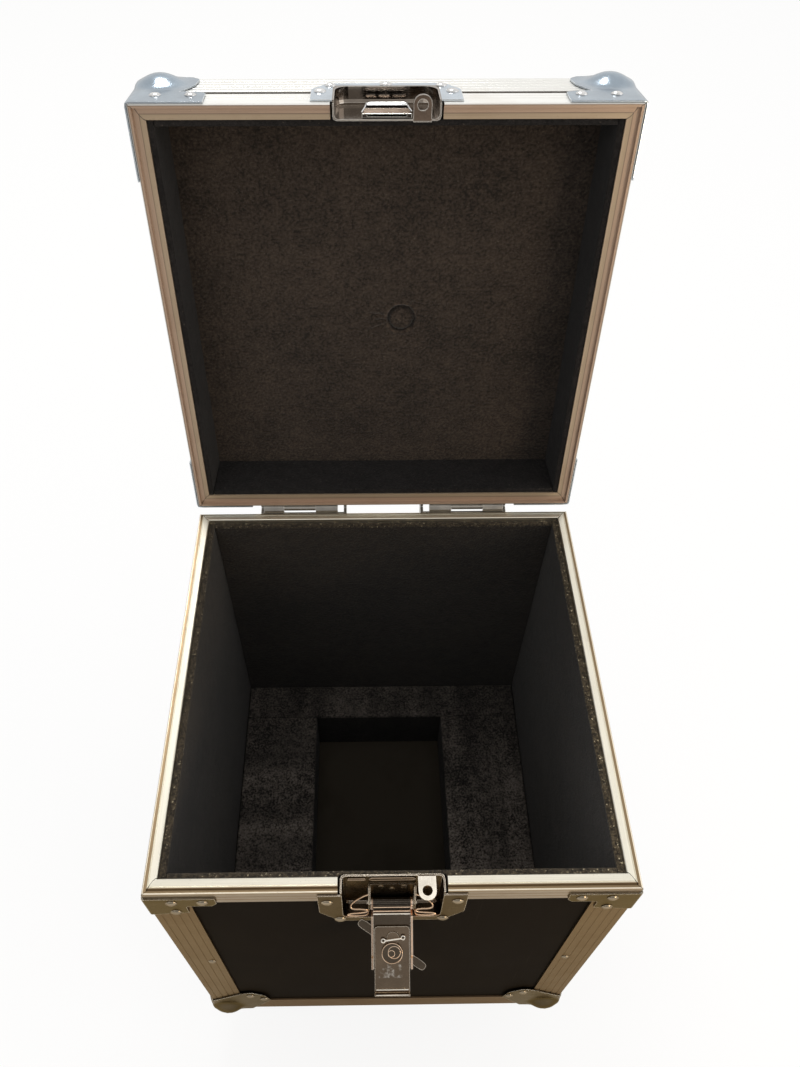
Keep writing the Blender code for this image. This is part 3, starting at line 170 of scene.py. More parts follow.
def tube(name, path, radius, closed=False, resolution=4):
    curve = bpy.data.curves.new(name, "CURVE")
    curve.dimensions = "3D"
    curve.bevel_depth = radius
    curve.bevel_resolution = resolution
    curve.use_fill_caps = not closed
    spline = curve.splines.new("POLY")
    spline.points.add(len(path) - 1)
    for point, place in zip(spline.points, path):
        point.co = (*place, 1)
    spline.use_cyclic_u = closed
    made = settle(addPiece(name, curve))
    facingOut(made.data, 0.00001)
    return made


def lathed(name, profile, sides, turn, place):
    # a closed (radius, height) profile spun round Z, then turned and placed
    points, faces = [], []
    count = len(profile)
    for side in range(sides):
        angle = 2 * math.pi * side / sides
        for radius, height in profile:
            points.append(place + turn @ Vector((radius * math.cos(angle), radius * math.sin(angle), height)))
        following = (side + 1) % sides
        for k in range(count):
            ahead = (k + 1) % count
            near, far = side * count, following * count
            faces.append((near + k, far + k, far + ahead, near + ahead))
    return addPiece(name, facingOut(meshOf(name, points, faces)))


# node materials

tree = None  # the node tree that these helpers add to


def setInputs(node, inputs):
    for key, value in inputs.items():
        if isinstance(value, bpy.types.NodeSocket):
            tree.links.new(value, node.inputs[key])
        else:
            node.inputs[key].default_value = value


def addNode(kind, inputs=None, **settings):
    made = tree.nodes.new(kind)
    for key, value in settings.items():
        setattr(made, key, value)
    setInputs(made, inputs or {})
    return made


def newMaterial(name):
    global tree
    material = bpy.data.materials.new(name)
    material.use_nodes = True
    tree = material.node_tree
    return material, tree.nodes["Principled BSDF"]


def calculate(operation, *values):
    return addNode("ShaderNodeMath", dict(enumerate(values)), operation=operation).outputs[0]


times, timesPlus, plus, minus, absolute, larger = [partial(calculate, operation) for operation in (
    "MULTIPLY", "MULTIPLY_ADD", "ADD", "SUBTRACT", "ABSOLUTE", "MAXIMUM")]


def split(place):
    return addNode("ShaderNodeSeparateXYZ", {"Vector": place}).outputs


def joined(*parts):
    return addNode("ShaderNodeCombineXYZ", dict(enumerate(parts))).outputs[0]


def mapped(place, scale=(1, 1, 1), turn=(0, 0, 0), shift=(0, 0, 0)):
    return addNode("ShaderNodeMapping", {
        "Vector": place, "Scale": scale, "Rotation": turn, "Location": shift}).outputs[0]


def placeOf(closedLid=False, shutArm=False):
    # object coordinates; pieces of the open lid or of the open latch arm are read as if they were shut
    place = addNode("ShaderNodeTexCoord").outputs["Object"]
    if closedLid or shutArm:
        angle = math.radians(-armOpen if shutArm else case["lidAngle"])
        about = latchPivot if shutArm else hingePoint
        place = mapped(place, turn=(angle, 0, 0), shift=about - Matrix.Rotation(angle, 3, "X") @ about)
    return place


def noiseAt(place, scale, detail=3.0, roughness=0.5):
    return addNode("ShaderNodeTexNoise", {
        "Vector": place, "Scale": scale, "Detail": detail, "Roughness": roughness}).outputs["Fac"]


def reshape(value, *stops):
    # a grey or coloured ramp over a value
    ramp = addNode("ShaderNodeValToRGB", {"Fac": value})
    while len(ramp.color_ramp.elements) < len(stops):
        ramp.color_ramp.elements.new(0.5)
    for element, (position, colour) in zip(ramp.color_ramp.elements, stops):
        element.position = position
        element.color = (colour, colour, colour, 1) if isinstance(colour, (int, float)) else (*colour, 1)
    return ramp.outputs["Color"]


def mixColours(share, first, second, blend="MIX"):
    ends = {0: share}
    for key, value in ((6, first), (7, second)):
        ends[key] = value if isinstance(value, bpy.types.NodeSocket) else (*value, 1)
    return addNode("ShaderNodeMix", ends, data_type="RGBA", blend_type=blend).outputs[2]


def tinted(first, second):
    return mixColours(1.0, first, second, "MULTIPLY")


def addBump(shader, height, strength, distance, after=None):
    inputs = {"Height": height, "Strength": strength, "Distance": distance}
    if after is not None:
        inputs["Normal"] = after
    bump = addNode("ShaderNodeBump", inputs)
    tree.links.new(bump.outputs["Normal"], shader.inputs["Normal"])
    return bump.outputs["Normal"]


aluminiumLook = {
    "streakWidth": 0.0007, "streakLength": 0.09, "roughness": (0.24, 0.38), "grime": (0.60, 0.52, 0.44),
    "pit": (0.45, 0.45, 0.45), "bandSpan": 0.0120, "mitre": 0.00032, "mitreSway": 0.0010,
    "mitreShade": (0.012, 0.010, 0.008),
}


def satinAluminium(name, colour, run="frame", closedLid=False, paintedLightBands=(), metal=1.0, grazing=(1, 1, 1)):
    # drawn aluminium: streaks follow the profile, with dull patches and a little grime;
    # bands are (distance in from the outer face, colour) of painted light, reflection and shade, and they
    # bring the dark mitre lines
    look = aluminiumLook
    material, shader = newMaterial(name)
    place = placeOf(closedLid)
    x, y, z = split(place)
    across, along = 1 / look["streakWidth"], 1 / look["streakLength"]
    if run == "upright":
        drawn = joined(times(x, across), times(y, across), times(z, along))
    else:
        inset = larger(absolute(x), absolute(y))
        drawn = joined(times(inset, across), times(z, across), times(plus(x, y), along))
    streaks = noiseAt(drawn, 1.0, 4.0, 0.65)
    patches = noiseAt(place, 22.0, 5.0, 0.6)
    specks = noiseAt(place, 900.0, 2.0, 0.5)
    base = colour
    if paintedLightBands:
        # the band colours are painted highlight on faces turned up and painted reflection and shade on the
        # others
        share = calculate("DIVIDE", minus(case["half"], inset), look["bandSpan"])
        base = reshape(share, *[(away / look["bandSpan"], tint) for away, tint in paintedLightBands])
    shade = tinted(base, reshape(streaks, (0.30, 0.80), (0.74, 1.0)))
    grime = times(reshape(patches, (0.52, 0.0), (0.75, 1.0)), 0.35)
    shade = mixColours(grime, shade, tinted(base, look["grime"]))
    shade = mixColours(reshape(specks, (0.68, 0.0), (0.74, 0.55)), shade, tinted(base, look["pit"]))
    if paintedLightBands:
        sway = times(calculate("SINE", times(share, 6.283)), look["mitreSway"])
        offLine = absolute(plus(minus(absolute(x), absolute(y)), sway))
        cut = times(calculate("LESS_THAN", offLine, look["mitre"]), 0.9)
        shade = mixColours(cut, shade, look["mitreShade"])
    low, high = look["roughness"]
    dull = timesPlus(streaks, 0.08, timesPlus(patches, high - low, low))
    setInputs(shader, {"Base Color": shade, "Roughness": dull, "Metallic": metal,
                       "Specular Tint": (*grazing, 1)})
    addBump(shader, streaks, 0.25, 0.00012)
    return material


laminateLook = {
    "colour": (0.0110, 0.0080, 0.0050), "worn": (0.020, 0.0155, 0.0105), "scratch": (0.045, 0.037, 0.028),
    "grain": 0.0011,
}


def blackLaminate(name, closedLid=False, colour=laminateLook["colour"]):
    # thin textured laminate over plywood: a pebbled surface, faint rubs and a few long scratches
    material, shader = newMaterial(name)
    place = placeOf(closedLid)
    pebbles = addNode("ShaderNodeTexVoronoi", {
        "Vector": place, "Scale": 1 / laminateLook["grain"], "Randomness": 0.9}, feature="SMOOTH_F1")
    rubs = noiseAt(place, 9.0, 6.0, 0.62)
    scratches = noiseAt(mapped(place, (900, 900, 12), (0.3, 0.5, 0.7)), 1.0, 2.0, 0.5)
    worn = times(reshape(rubs, (0.50, 0.0), (0.78, 1.0)), 0.55)
    shade = mixColours(worn, colour, laminateLook["worn"])
    scratches = times(reshape(scratches, (0.70, 0.0), (0.78, 1.0)), 0.25)
    shade = mixColours(scratches, shade, laminateLook["scratch"])
    setInputs(shader, {"Base Color": shade, "Roughness": timesPlus(rubs, 0.20, 0.52),
                       "Specular IOR Level": 0.015, "IOR": 1.25})
    addBump(shader, pebbles.outputs["Distance"], 0.35, 0.0003)
    return material


def insideBox(place, low, high):
    # 1 within a box of the case's own coordinates, 0 outside it
    inside = None
    for axis, value in enumerate(split(place)):
        for limit, operation in ((low[axis], "GREATER_THAN"), (high[axis], "LESS_THAN")):
            if limit is not None:
                step = calculate(operation, value, limit)
                inside = step if inside is None else times(inside, step)
    return inside


def pressedSteel(name, colour, roughness, edge=None, closedLid=False, zones=(), shutArm=False, scuffs=(),
                 grazing=(1, 1, 1)):
    # bright plated steel, with cloudy dulling, hairline scratches and lighter edges, partly rubbed and partly
    # a painted highlight;
    # zones are (low corner, high corner, tint) for parts of a pressing that another finish or painted light
    # reaches
    material, shader = newMaterial(name)
    place = placeOf(closedLid, shutArm)
    clouds = noiseAt(place, 55.0, 5.0, 0.6)
    hairs = noiseAt(mapped(place, (2600, 120, 2600), (0.5, 0.2, 0.9)), 1.0, 2.0)
    cross = noiseAt(mapped(place, (150, 2400, 2400), (0.1, 0.9, 0.3)), 1.0, 2.0)
    lines = larger(reshape(hairs, (0.66, 0.0), (0.74, 1.0)), reshape(cross, (0.67, 0.0), (0.75, 1.0)))
    base = colour
    for low, high, tint in zones:
        base = mixColours(insideBox(place, low, high), base, tint)
    shade = tinted(base, reshape(clouds, (0.30, 0.74), (0.72, 1.0)))
    for low, high, tint in scuffs:
        rubs = reshape(noiseAt(place, 210.0, 3.0, 0.6), (0.52, 0.0), (0.66, 1.0))
        shade = mixColours(times(rubs, insideBox(place, low, high)), shade, tint)
    if edge:
        # painted highlight and rubbing along the edges
        bevel = addNode("ShaderNodeBevel", {"Radius": 0.0009}, samples=4)
        flat = addNode("ShaderNodeNewGeometry").outputs["Normal"]
        likeness = addNode("ShaderNodeVectorMath", {0: bevel.outputs["Normal"], 1: flat},
                           operation="DOT_PRODUCT").outputs["Value"]
        shade = mixColours(reshape(likeness, (0.84, 1.0), (0.99, 0.0)), shade, edge)
    low, high = roughness
    dull = timesPlus(lines, 0.16, timesPlus(clouds, high - low, low))
    setInputs(shader, {"Base Color": shade, "Roughness": dull, "Metallic": 1, "Specular Tint": (*grazing, 1)})
    soft = addBump(shader, noiseAt(place, 160.0, 2.0, 0.4), 0.10, 0.0006)
    addBump(shader, lines, 0.12, 0.00005, soft)
    return material


foamLook = {
    "cell": 0.00060, "grain": 430.0, "crumb": (0.16, 0.13, 0.10),
    "torn": (0.115, 0.088, 0.052), "tornBit": (0.80, 0.68, 0.46), "tornDepth": 0.0042,
    # the dent's ring: painted shade, then a painted highlight outside it, and lighter inside
    "dent": [(0.080, 0.62), (0.108, 0.18), (0.126, 0.22), (0.142, 0.92), (0.158, 0.55), (0.200, 0.50)],
}


def cutFoam(name, dark, light, closedLid=False, sheen=0.15, size=1.0, gloss=0.0, contrast=0.10,
            dent=None, waves=None, crumbs=False):
    # fine-celled foam: grains of two browns, hollows darkened with painted shade, a few pale specks; dent is
    # a pressed ring with painted shade and highlight, waves are the stretch of painted light bands, and
    # crumbs are the torn grains along a top edge
    look = foamLook
    material, shader = newMaterial(name)
    place = placeOf(closedLid)
    x, y, z = split(place)
    cells = addNode("ShaderNodeTexVoronoi", {
        "Vector": place, "Scale": 1 / (look["cell"] * size), "Randomness": 1.0}, feature="F1").outputs[0]
    grain = noiseAt(place, look["grain"] / size, 3.0, 0.65)
    clouds = noiseAt(place, 13.0, 5.0, 0.6)
    mottle = noiseAt(place, 120.0, 3.0, 0.6)
    share = timesPlus(clouds, 0.22, timesPlus(grain, 0.56, times(mottle, 0.22)))
    shade = mixColours(reshape(share, (0.51 - contrast, 0.0), (0.51 + contrast, 1.0)), dark, light)
    if waves:
        # painted light: bands across the pad, brighter towards the front; painted shade on the pad's sides
        # below its top
        paintedWaveLight = reshape(noiseAt(mapped(place, waves), 1.0, 2.0), (0.36, 0.45), (0.64, 1.0))
        paintedFrontLight = reshape(timesPlus(y, 3.2, 0.58), (0.0, 1.0), (0.45, 0.50), (1.0, 0.25))
        paintedLowShade = reshape(times(z, 12.0), (0.90, 0.16), (0.925, 1.0))
        for part in (paintedWaveLight, paintedFrontLight, paintedLowShade):
            shade = tinted(shade, part)
    if dent:
        # painted shade in a ring round the dent, with a painted highlight just outside it
        aside = joined(minus(x, dent[0]), minus(y, dent[1]))
        away = addNode("ShaderNodeVectorMath", {0: aside}, operation="LENGTH").outputs["Value"]
        away = timesPlus(away, 10.0, timesPlus(mottle, 0.03, -0.015))
        shade = tinted(shade, tinted(reshape(away, *look["dent"]), (2.0, 2.0, 2.0)))
    if crumbs:
        torn = calculate("GREATER_THAN", z, case["parting"] - look["tornDepth"])
        torn = times(torn, reshape(grain, (0.42, 0.15), (0.62, 1.0)))
        # the torn grains are the foam's own; they show fully only at the right wall: painted light
        side = reshape(timesPlus(x, 2.4, 0.5), (0.0, 0.35), (0.85, 0.45), (0.93, 1.0))
        shade = mixColours(times(torn, side), shade, look["torn"])
        bits = times(reshape(noiseAt(place, 640.0, 1.0, 0.4), (0.66, 0.0), (0.70, 1.0)), torn)
        shade = mixColours(times(bits, side), shade, look["tornBit"])
    # painted shade in the hollows of the cells
    shade = tinted(shade, reshape(cells, (0.10, 0.45), (0.42, 1.0)))
    specks = reshape(noiseAt(place, 520.0, 1.0, 0.4), (0.745, 0.0), (0.765, 1.0))
    shade = mixColours(times(specks, 0.35), shade, look["crumb"])
    setInputs(shader, {"Base Color": shade, "Roughness": timesPlus(grain, 0.20, 0.78 - gloss),
                       "Specular IOR Level": 0.16 + gloss, "Sheen Weight": sheen, "Sheen Roughness": 0.55})
    rough = addBump(shader, mottle, 0.45, 0.0012)
    grained = addBump(shader, grain, 0.75, 0.0012 * size, rough)
    addBump(shader, cells, 0.70, 0.0004 * size, grained)
    return material


def mouldedRubber(name, colour):
    material, shader = newMaterial(name)
    place = placeOf()
    dust = noiseAt(place, 60.0, 5.0, 0.6)
    dusty = [c * 1.9 + 0.01 for c in colour]
    setInputs(shader, {"Base Color": mixColours(reshape(dust, (0.45, 0.0), (0.75, 1.0)), colour, dusty),
                       "Roughness": timesPlus(dust, 0.25, 0.45)})
    addBump(shader, noiseAt(place, 1400.0, 2.0, 0.5), 0.25, 0.0002)
    return material


print("materials ready")


# finishes of the imported pieces that stay; some colours here hold painted reflection, highlight and shade

finishesAndPaintedLight = {
    # the base's aluminium is the lid's metal painted brown: painted reflection of the dark floor in front
    "upright": (0.225, 0.160, 0.098),
    "bottom": (0.200, 0.132, 0.080),
    "lid": (0.84, 0.835, 0.80),
    # the base corners are the lid corners' steel painted dark brown: painted reflection of the dark floor
    "corner": (0.125, 0.098, 0.062),
    "lidCorner": (0.36, 0.43, 0.50),
    # the base latch's and hook's dark browns are painted reflection of the dark floor
    "latch": (0.125, 0.098, 0.072),
    "hook": (0.215, 0.160, 0.112),
    # lighter edges of the latch steels: partly rubbed metal, partly painted highlight
    "latchEdgeRubAndHighlight": (1.0, 0.90, 0.76),
    "copper": (0.98, 0.66, 0.46),
    # the lid latch's brown is painted reflection of the dark floor in front
    "lidLatch": (0.30, 0.255, 0.215),
    # blue-bright on the lid latch flanges that face up: painted reflection
    "lidFlangeReflection": (0.58, 0.66, 0.74),
    "hinge": (0.40, 0.38, 0.35),
    "castor": (0.50, 0.51, 0.53),
    "tab": (0.86, 0.80, 0.70), "darkTab": (0.20, 0.145, 0.11), "armShade": (0.045, 0.036, 0.028),
    "scuff": (0.55, 0.50, 0.44),
    # grazing tints that darken the base metals' reflection to brown: painted reflection of the dark floor
    "brownSheen": (0.60, 0.53, 0.42),
    "uprightSheen": (0.64, 0.56, 0.45),
    # the closing profiles' bands: the base's cream bands are painted highlight on faces turned up, the brown
    # and dark bands of both are painted reflection and shade, and the lid's outer silver lip is its metal
    "baseBandsPaintedLight": [(0.0, (0.34, 0.25, 0.145)), (0.0003, (0.36, 0.26, 0.15)), (0.0005, (0.95, 0.86, 0.70)),
                  (0.0011, (0.95, 0.86, 0.70)), (0.0014, (0.26, 0.185, 0.105)), (0.0042, (0.30, 0.22, 0.13)),
                  (0.0045, (0.90, 0.85, 0.72)), (0.0120, (0.92, 0.88, 0.76))],
    "lidBandsPaintedLight": [(0.0, (0.84, 0.835, 0.80)), (0.0007, (0.84, 0.82, 0.78)), (0.0009, (0.20, 0.145, 0.105)),
                 (0.0016, (0.46, 0.325, 0.235)), (0.0070, (0.48, 0.34, 0.245)), (0.0074, (0.18, 0.13, 0.09)),
                 (0.0080, (0.43, 0.33, 0.225)), (0.0116, (0.46, 0.35, 0.24))],
}
# zones are (low corner, high corner, tint); anywhere stands for a corner without limits
anywhere = (None, None, None)
tabLow, tabHigh, tabFront = 0.0193, 0.0328, -0.1765
baseTab = ((tabLow, None, 0.4031), (tabHigh, tabFront, None), finishesAndPaintedLight["tab"])
lidTab = ((tabLow, None, None), (tabHigh, tabFront, 0.4073), finishesAndPaintedLight["darkTab"])
lowLight = latchPivot.z + 0.0102  # the arm's plate shows from here; nearer its pin it lies in the dark
railAt, flangeAt, flangeLow = 0.0149, 0.0399, 0.4475
# painted shade on the arm near its pin, and the rails' copper, full on the right and half on the left:
# painted light and shade
armShadeAndRailLight = [(anywhere, (None, None, lowLight), finishesAndPaintedLight["armShade"]),
            (anywhere, (-railAt, None, None), [c * 0.50 for c in finishesAndPaintedLight["copper"]]),
            ((railAt, None, None), anywhere, finishesAndPaintedLight["copper"])]
hookScuffs = [((-0.011, None, latchPivot.z + 0.0505), (0.010, None, latchPivot.z + 0.0610),
               finishesAndPaintedLight["scuff"])]
# painted reflection on the lid latch's flanges that face up
lidFlangeReflections = [(anywhere, (-flangeAt, None, None), finishesAndPaintedLight["lidFlangeReflection"]),
              ((flangeAt, None, None), anywhere, finishesAndPaintedLight["lidFlangeReflection"]),
              ((None, None, flangeLow), anywhere, finishesAndPaintedLight["lidFlangeReflection"])]

laminateBase = blackLaminate("blackLaminate")
laminateLid = blackLaminate("lidLaminate", closedLid=True)
# the well's floor is the same laminate painted lighter: painted light
paintedLightFloorLaminate = blackLaminate("floorLaminatePaintedLight", colour=(0.050, 0.042, 0.032))
brownPlate = {"edge": finishesAndPaintedLight["latchEdgeRubAndHighlight"], "grazing": finishesAndPaintedLight["brownSheen"]}
cornerSteel = pressedSteel("cornerSteel", finishesAndPaintedLight["corner"], (0.16, 0.34), (0.90, 0.84, 0.72),
                           grazing=finishesAndPaintedLight["brownSheen"])
lidCornerSteel = pressedSteel("lidCornerSteel", finishesAndPaintedLight["lidCorner"], (0.10, 0.26), (0.98, 0.98, 0.98), True)
latchSteel = pressedSteel("latchSteel", finishesAndPaintedLight["latch"], (0.18, 0.36), **brownPlate)
dishSteel = pressedSteel("dishSteel", finishesAndPaintedLight["latch"], (0.18, 0.36), zones=[baseTab], **brownPlate)
armSteel = pressedSteel("armSteel", finishesAndPaintedLight["latch"], (0.16, 0.30), zones=armShadeAndRailLight, shutArm=True,
                        **brownPlate)
hookSteel = pressedSteel("hookSteel", finishesAndPaintedLight["hook"], (0.14, 0.30), finishesAndPaintedLight["latchEdgeRubAndHighlight"], shutArm=True,
                         scuffs=hookScuffs, grazing=finishesAndPaintedLight["uprightSheen"])
brightSteel = pressedSteel("brightSteel", (0.98, 0.93, 0.84), (0.10, 0.22))
darkCopper = pressedSteel("darkCopper", (0.36, 0.27, 0.19), (0.16, 0.30))
paleCopper = pressedSteel("paleCopper", (0.80, 0.60, 0.44), (0.12, 0.24))
lidLatchSteel = pressedSteel("lidLatchSteel", finishesAndPaintedLight["lidLatch"], (0.06, 0.20), (0.92, 0.88, 0.82), True,
                             [*lidFlangeReflections, lidTab])
# the keeper is painted near black, with its reflection dimmed as well: painted shade
keeperSteel = pressedSteel("keeperSteel", (0.055, 0.045, 0.038), (0.10, 0.24), (0.95, 0.92, 0.86), True,
                           grazing=(0.12, 0.10, 0.08))
hingeSteel = pressedSteel("hingeSteel", finishesAndPaintedLight["hinge"], (0.22, 0.40), (0.7, 0.68, 0.64))
castorSteel = pressedSteel("castorSteel", finishesAndPaintedLight["castor"], (0.20, 0.38), (0.8, 0.8, 0.8))
springSteel = pressedSteel("springSteel", (0.78, 0.55, 0.37), (0.16, 0.30))
# the base's rivets are the lid rivets' steel painted brown: painted reflection of the dark floor
rivetSteel = pressedSteel("rivetSteel", (0.34, 0.285, 0.21), (0.12, 0.26), grazing=finishesAndPaintedLight["uprightSheen"])
lidRivetSteel = pressedSteel("lidRivetSteel", (0.80, 0.80, 0.80), (0.08, 0.20), closedLid=True)

packedFinish = {
    "base_bottom_panel": paintedLightFloorLaminate, "base_front_panel": laminateBase, "base_back_panel": laminateBase,
    "base_left_panel": laminateBase, "base_right_panel": laminateBase,
    "lid_top_panel": laminateLid, "lid_walls": laminateLid,
    # the base's aluminium holds a painted reflection of the dark floor in its brown colour
    "base_bottom_edging": satinAluminium("bottomAluminium", finishesAndPaintedLight["bottom"],
                                         grazing=finishesAndPaintedLight["uprightSheen"]),
    "base_closing_profile": satinAluminium("rimAluminium", finishesAndPaintedLight["upright"], paintedLightBands=finishesAndPaintedLight["baseBandsPaintedLight"]),
    "lid_edging": satinAluminium("lidAluminium", finishesAndPaintedLight["lid"], closedLid=True),
    "lid_closing_profile": satinAluminium("lidRimAluminium", finishesAndPaintedLight["lid"], closedLid=True,
                                          paintedLightBands=finishesAndPaintedLight["lidBandsPaintedLight"], metal=0.28),
    "latch_dish": dishSteel, "latch_yoke": latchSteel, "latch_arm": armSteel, "latch_hook_plate": hookSteel,
    "latch_butterfly": latchSteel, "lid_latch_dish": lidLatchSteel, "latch_keeper": keeperSteel,
}
# the uprights' brown is a painted reflection of the dark floor
uprightAluminium = satinAluminium("uprightAluminium", finishesAndPaintedLight["upright"], "upright",
                                  grazing=finishesAndPaintedLight["uprightSheen"])
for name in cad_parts:
    if name.endswith("corner_edging"):
        packedFinish[name] = uprightAluminium
    elif name.endswith("rim_brace"):
        packedFinish[name] = cornerSteel
    elif "hinge" in name:
        packedFinish[name] = hingeSteel
    elif "castor" in name or "handle_plate" in name:
        packedFinish[name] = castorSteel
for name, material in packedFinish.items():
    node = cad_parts[name]
    for slot in node.material_slots:
        slot.material = material
print("packed pieces finished:", len(packedFinish))


# pressed corners

baseCorner = {
    "ball": 0.0220, "inset": 0.0140, "stand": 0.0015, "sheet": 0.0011, "blend": 0.0045, "arris": 0.0022,
    "face": [(0.0385, 0), (0.0635, 0.043), (0.0585, 0.064), (0.0445, 0.078), (0.032, 0.0705), (0, 0.0405)],
    "faceRadii": [0.006, 0.008, 0.008, 0.004],
    "end": [(0.0385, 0), (0.052, 0.031), (0.031, 0.052), (0, 0.0385)],
    "endRadii": [0.012, 0.012],
}
lidCorner = {
    "ball": 0.0240, "inset": 0.0160, "stand": 0.0015, "sheet": 0.0011, "blend": 0.0050, "arris": 0.0022,
    "face": [(0.0375, 0), (0.0455, 0.007), (0.0435, 0.023), (0.0345, 0.0405), (0, 0.0405)],
    "faceRadii": [0.005, 0.006, 0.0],
    "end": [(0.0375, 0), (0.052, 0.031), (0.031, 0.052), (0, 0.0375)],
    "endRadii": [0.012, 0.012],
    "bandTop": [(0.0345, 0.0405), (0.047, 0.0410), (0.0520, 0.0425), (0.0545, 0.0450)],
    "bandEnd": 0.0550, "bandRim": 0.0672,
}


def gridFaces(start, columns, rows):
    return [(a, a + 1, a + rows + 2, a + rows + 1)
            for a in (start + j * (rows + 1) + k for j in range(columns - 1) for k in range(rows))]


def finer(path, step=0.0022):
    dense = [path[0]]
    for a, b in zip(path, path[1:]):
        count = max(1, round((b - a).length / step))
        dense += [a.lerp(b, k / count) for k in range(1, count + 1)]
    return dense


def pressedSheet(shape, turnedDown):
    # three leaves meet at the tip; every point is pushed out from the ball's centre until it lies on the ball
    stand = shape["stand"]
    middle = Vector((shape["inset"],) * 3)
    rounding = shape["arris"]
    rows, bandRows = 22, 12
    points, faces = [], []

    def raised(a, b, order):
        spot = [0.0, 0.0, 0.0]
        spot[order[0]], spot[order[1]], spot[order[2]] = a - stand, b - stand, -stand
        flat = Vector(spot)
        core = Vector([max(value, rounding - stand) for value in flat])
        if (flat - core).length > 0.000001:
            flat = core + (flat - core).normalized() * rounding
        ray = flat - middle
        reach = smoothMax(shape["ball"], ray.length, shape["blend"])
        return flat + ray.normalized() * (reach - ray.length)

    face = finer(roundedOutline(shape["face"], shape["faceRadii"]))
    end = finer(roundedOutline(shape["end"], shape["endRadii"]))
    for outline, order in ((face, (0, 2, 1)), (face, (1, 2, 0)), (end, (0, 1, 2))):
        faces += gridFaces(len(points), len(outline), rows)
        for p in outline:
            spot = Vector((p.x + stand * (p.x > 0), p.y + stand * (p.y > 0)))
            for k in range(rows + 1):
                share = (k / rows) ** 0.85
                points.append(raised(spot.x * share, spot.y * share, order))
    if "bandTop" in shape:
        line = [p for p in face if abs(p.y - shape["face"][-1][1]) < 0.00001][::-1]
        top = line + [Vector(p) for p in shape["bandTop"][1:]]
        for order in ((0, 2, 1), (1, 2, 0)):
            faces += gridFaces(len(points), len(top), bandRows)
            for spot in top:
                beyond = max(spot.x - line[-1].x, 0) / (top[-1].x - line[-1].x)
                footX = spot.x + beyond * (shape["bandEnd"] - top[-1].x)
                for k in range(bandRows + 1):
                    share = k / bandRows
                    x = spot.x + (footX - spot.x) * share
                    z = spot.y + (shape["bandRim"] - spot.y) * share
                    points.append(raised(x + stand * (x > 0), z + stand, order))
    mesh = meshOf("pressedCorner", points, faces)
    if turnedDown:
        mesh.transform(Matrix.Scale(-1, 4, (0, 0, 1)))
    return mesh


def outwardFrom(mesh, middle):
    # an open sheet has no inside, so its faces are turned away from the ball's centre
    sheet = bmesh.new()
    sheet.from_mesh(mesh)
    bmesh.ops.remove_doubles(sheet, verts=sheet.verts, dist=0.00002)
    bmesh.ops.dissolve_degenerate(sheet, dist=0.00001, edges=sheet.edges)
    bmesh.ops.recalc_face_normals(sheet, faces=sheet.faces)
    facing = sum(face.normal.dot(face.calc_center_median() - middle) * face.calc_area()
                 for face in sheet.faces)
    if facing < 0:
        bmesh.ops.reverse_faces(sheet, faces=sheet.faces)
    sheet.to_mesh(mesh)
    sheet.free()
    return mesh


def pressedCorners(shape, lid):
    for k, (name, signs) in enumerate(cornerSigns.items()):
        mesh = pressedSheet(shape, lid)
        inset = shape["inset"]
        outwardFrom(mesh, Vector((inset, inset, -inset if lid else inset)))
        height = case["lidTop"] if lid else case["underside"]
        place = Matrix.Translation((signs[0] * case["half"], signs[1] * case["half"], height))
        mesh.transform(place @ Matrix.Rotation(k * math.pi / 2, 4, "Z"))
        if lid:
            mesh.transform(openLid)
        body = "lid" if lid else "base"
        piece = addPiece(body + "Corner." + name, mesh)
        thick = piece.modifiers.new("sheet", "SOLIDIFY")
        thick.thickness = shape["sheet"]
        thick.offset = -1
        rolled = piece.modifiers.new("rolledEdge", "BEVEL")
        rolled.width = 0.0004
        rolled.segments = 2
        rolled.limit_method = "ANGLE"
        rolled.angle_limit = math.radians(60)
        settle(piece)
        node = f"lid_{name}_corner" if lid else f"{name}_ball_corner"
        dress(piece, lidCornerSteel if lid else cornerSteel, body, replaced=[node], sharp=50)


pressedCorners(baseCorner, False)
pressedCorners(lidCorner, True)
print("pressed corners made")


# rivets: one tree puts a domed head on every point, along the point's facing direction

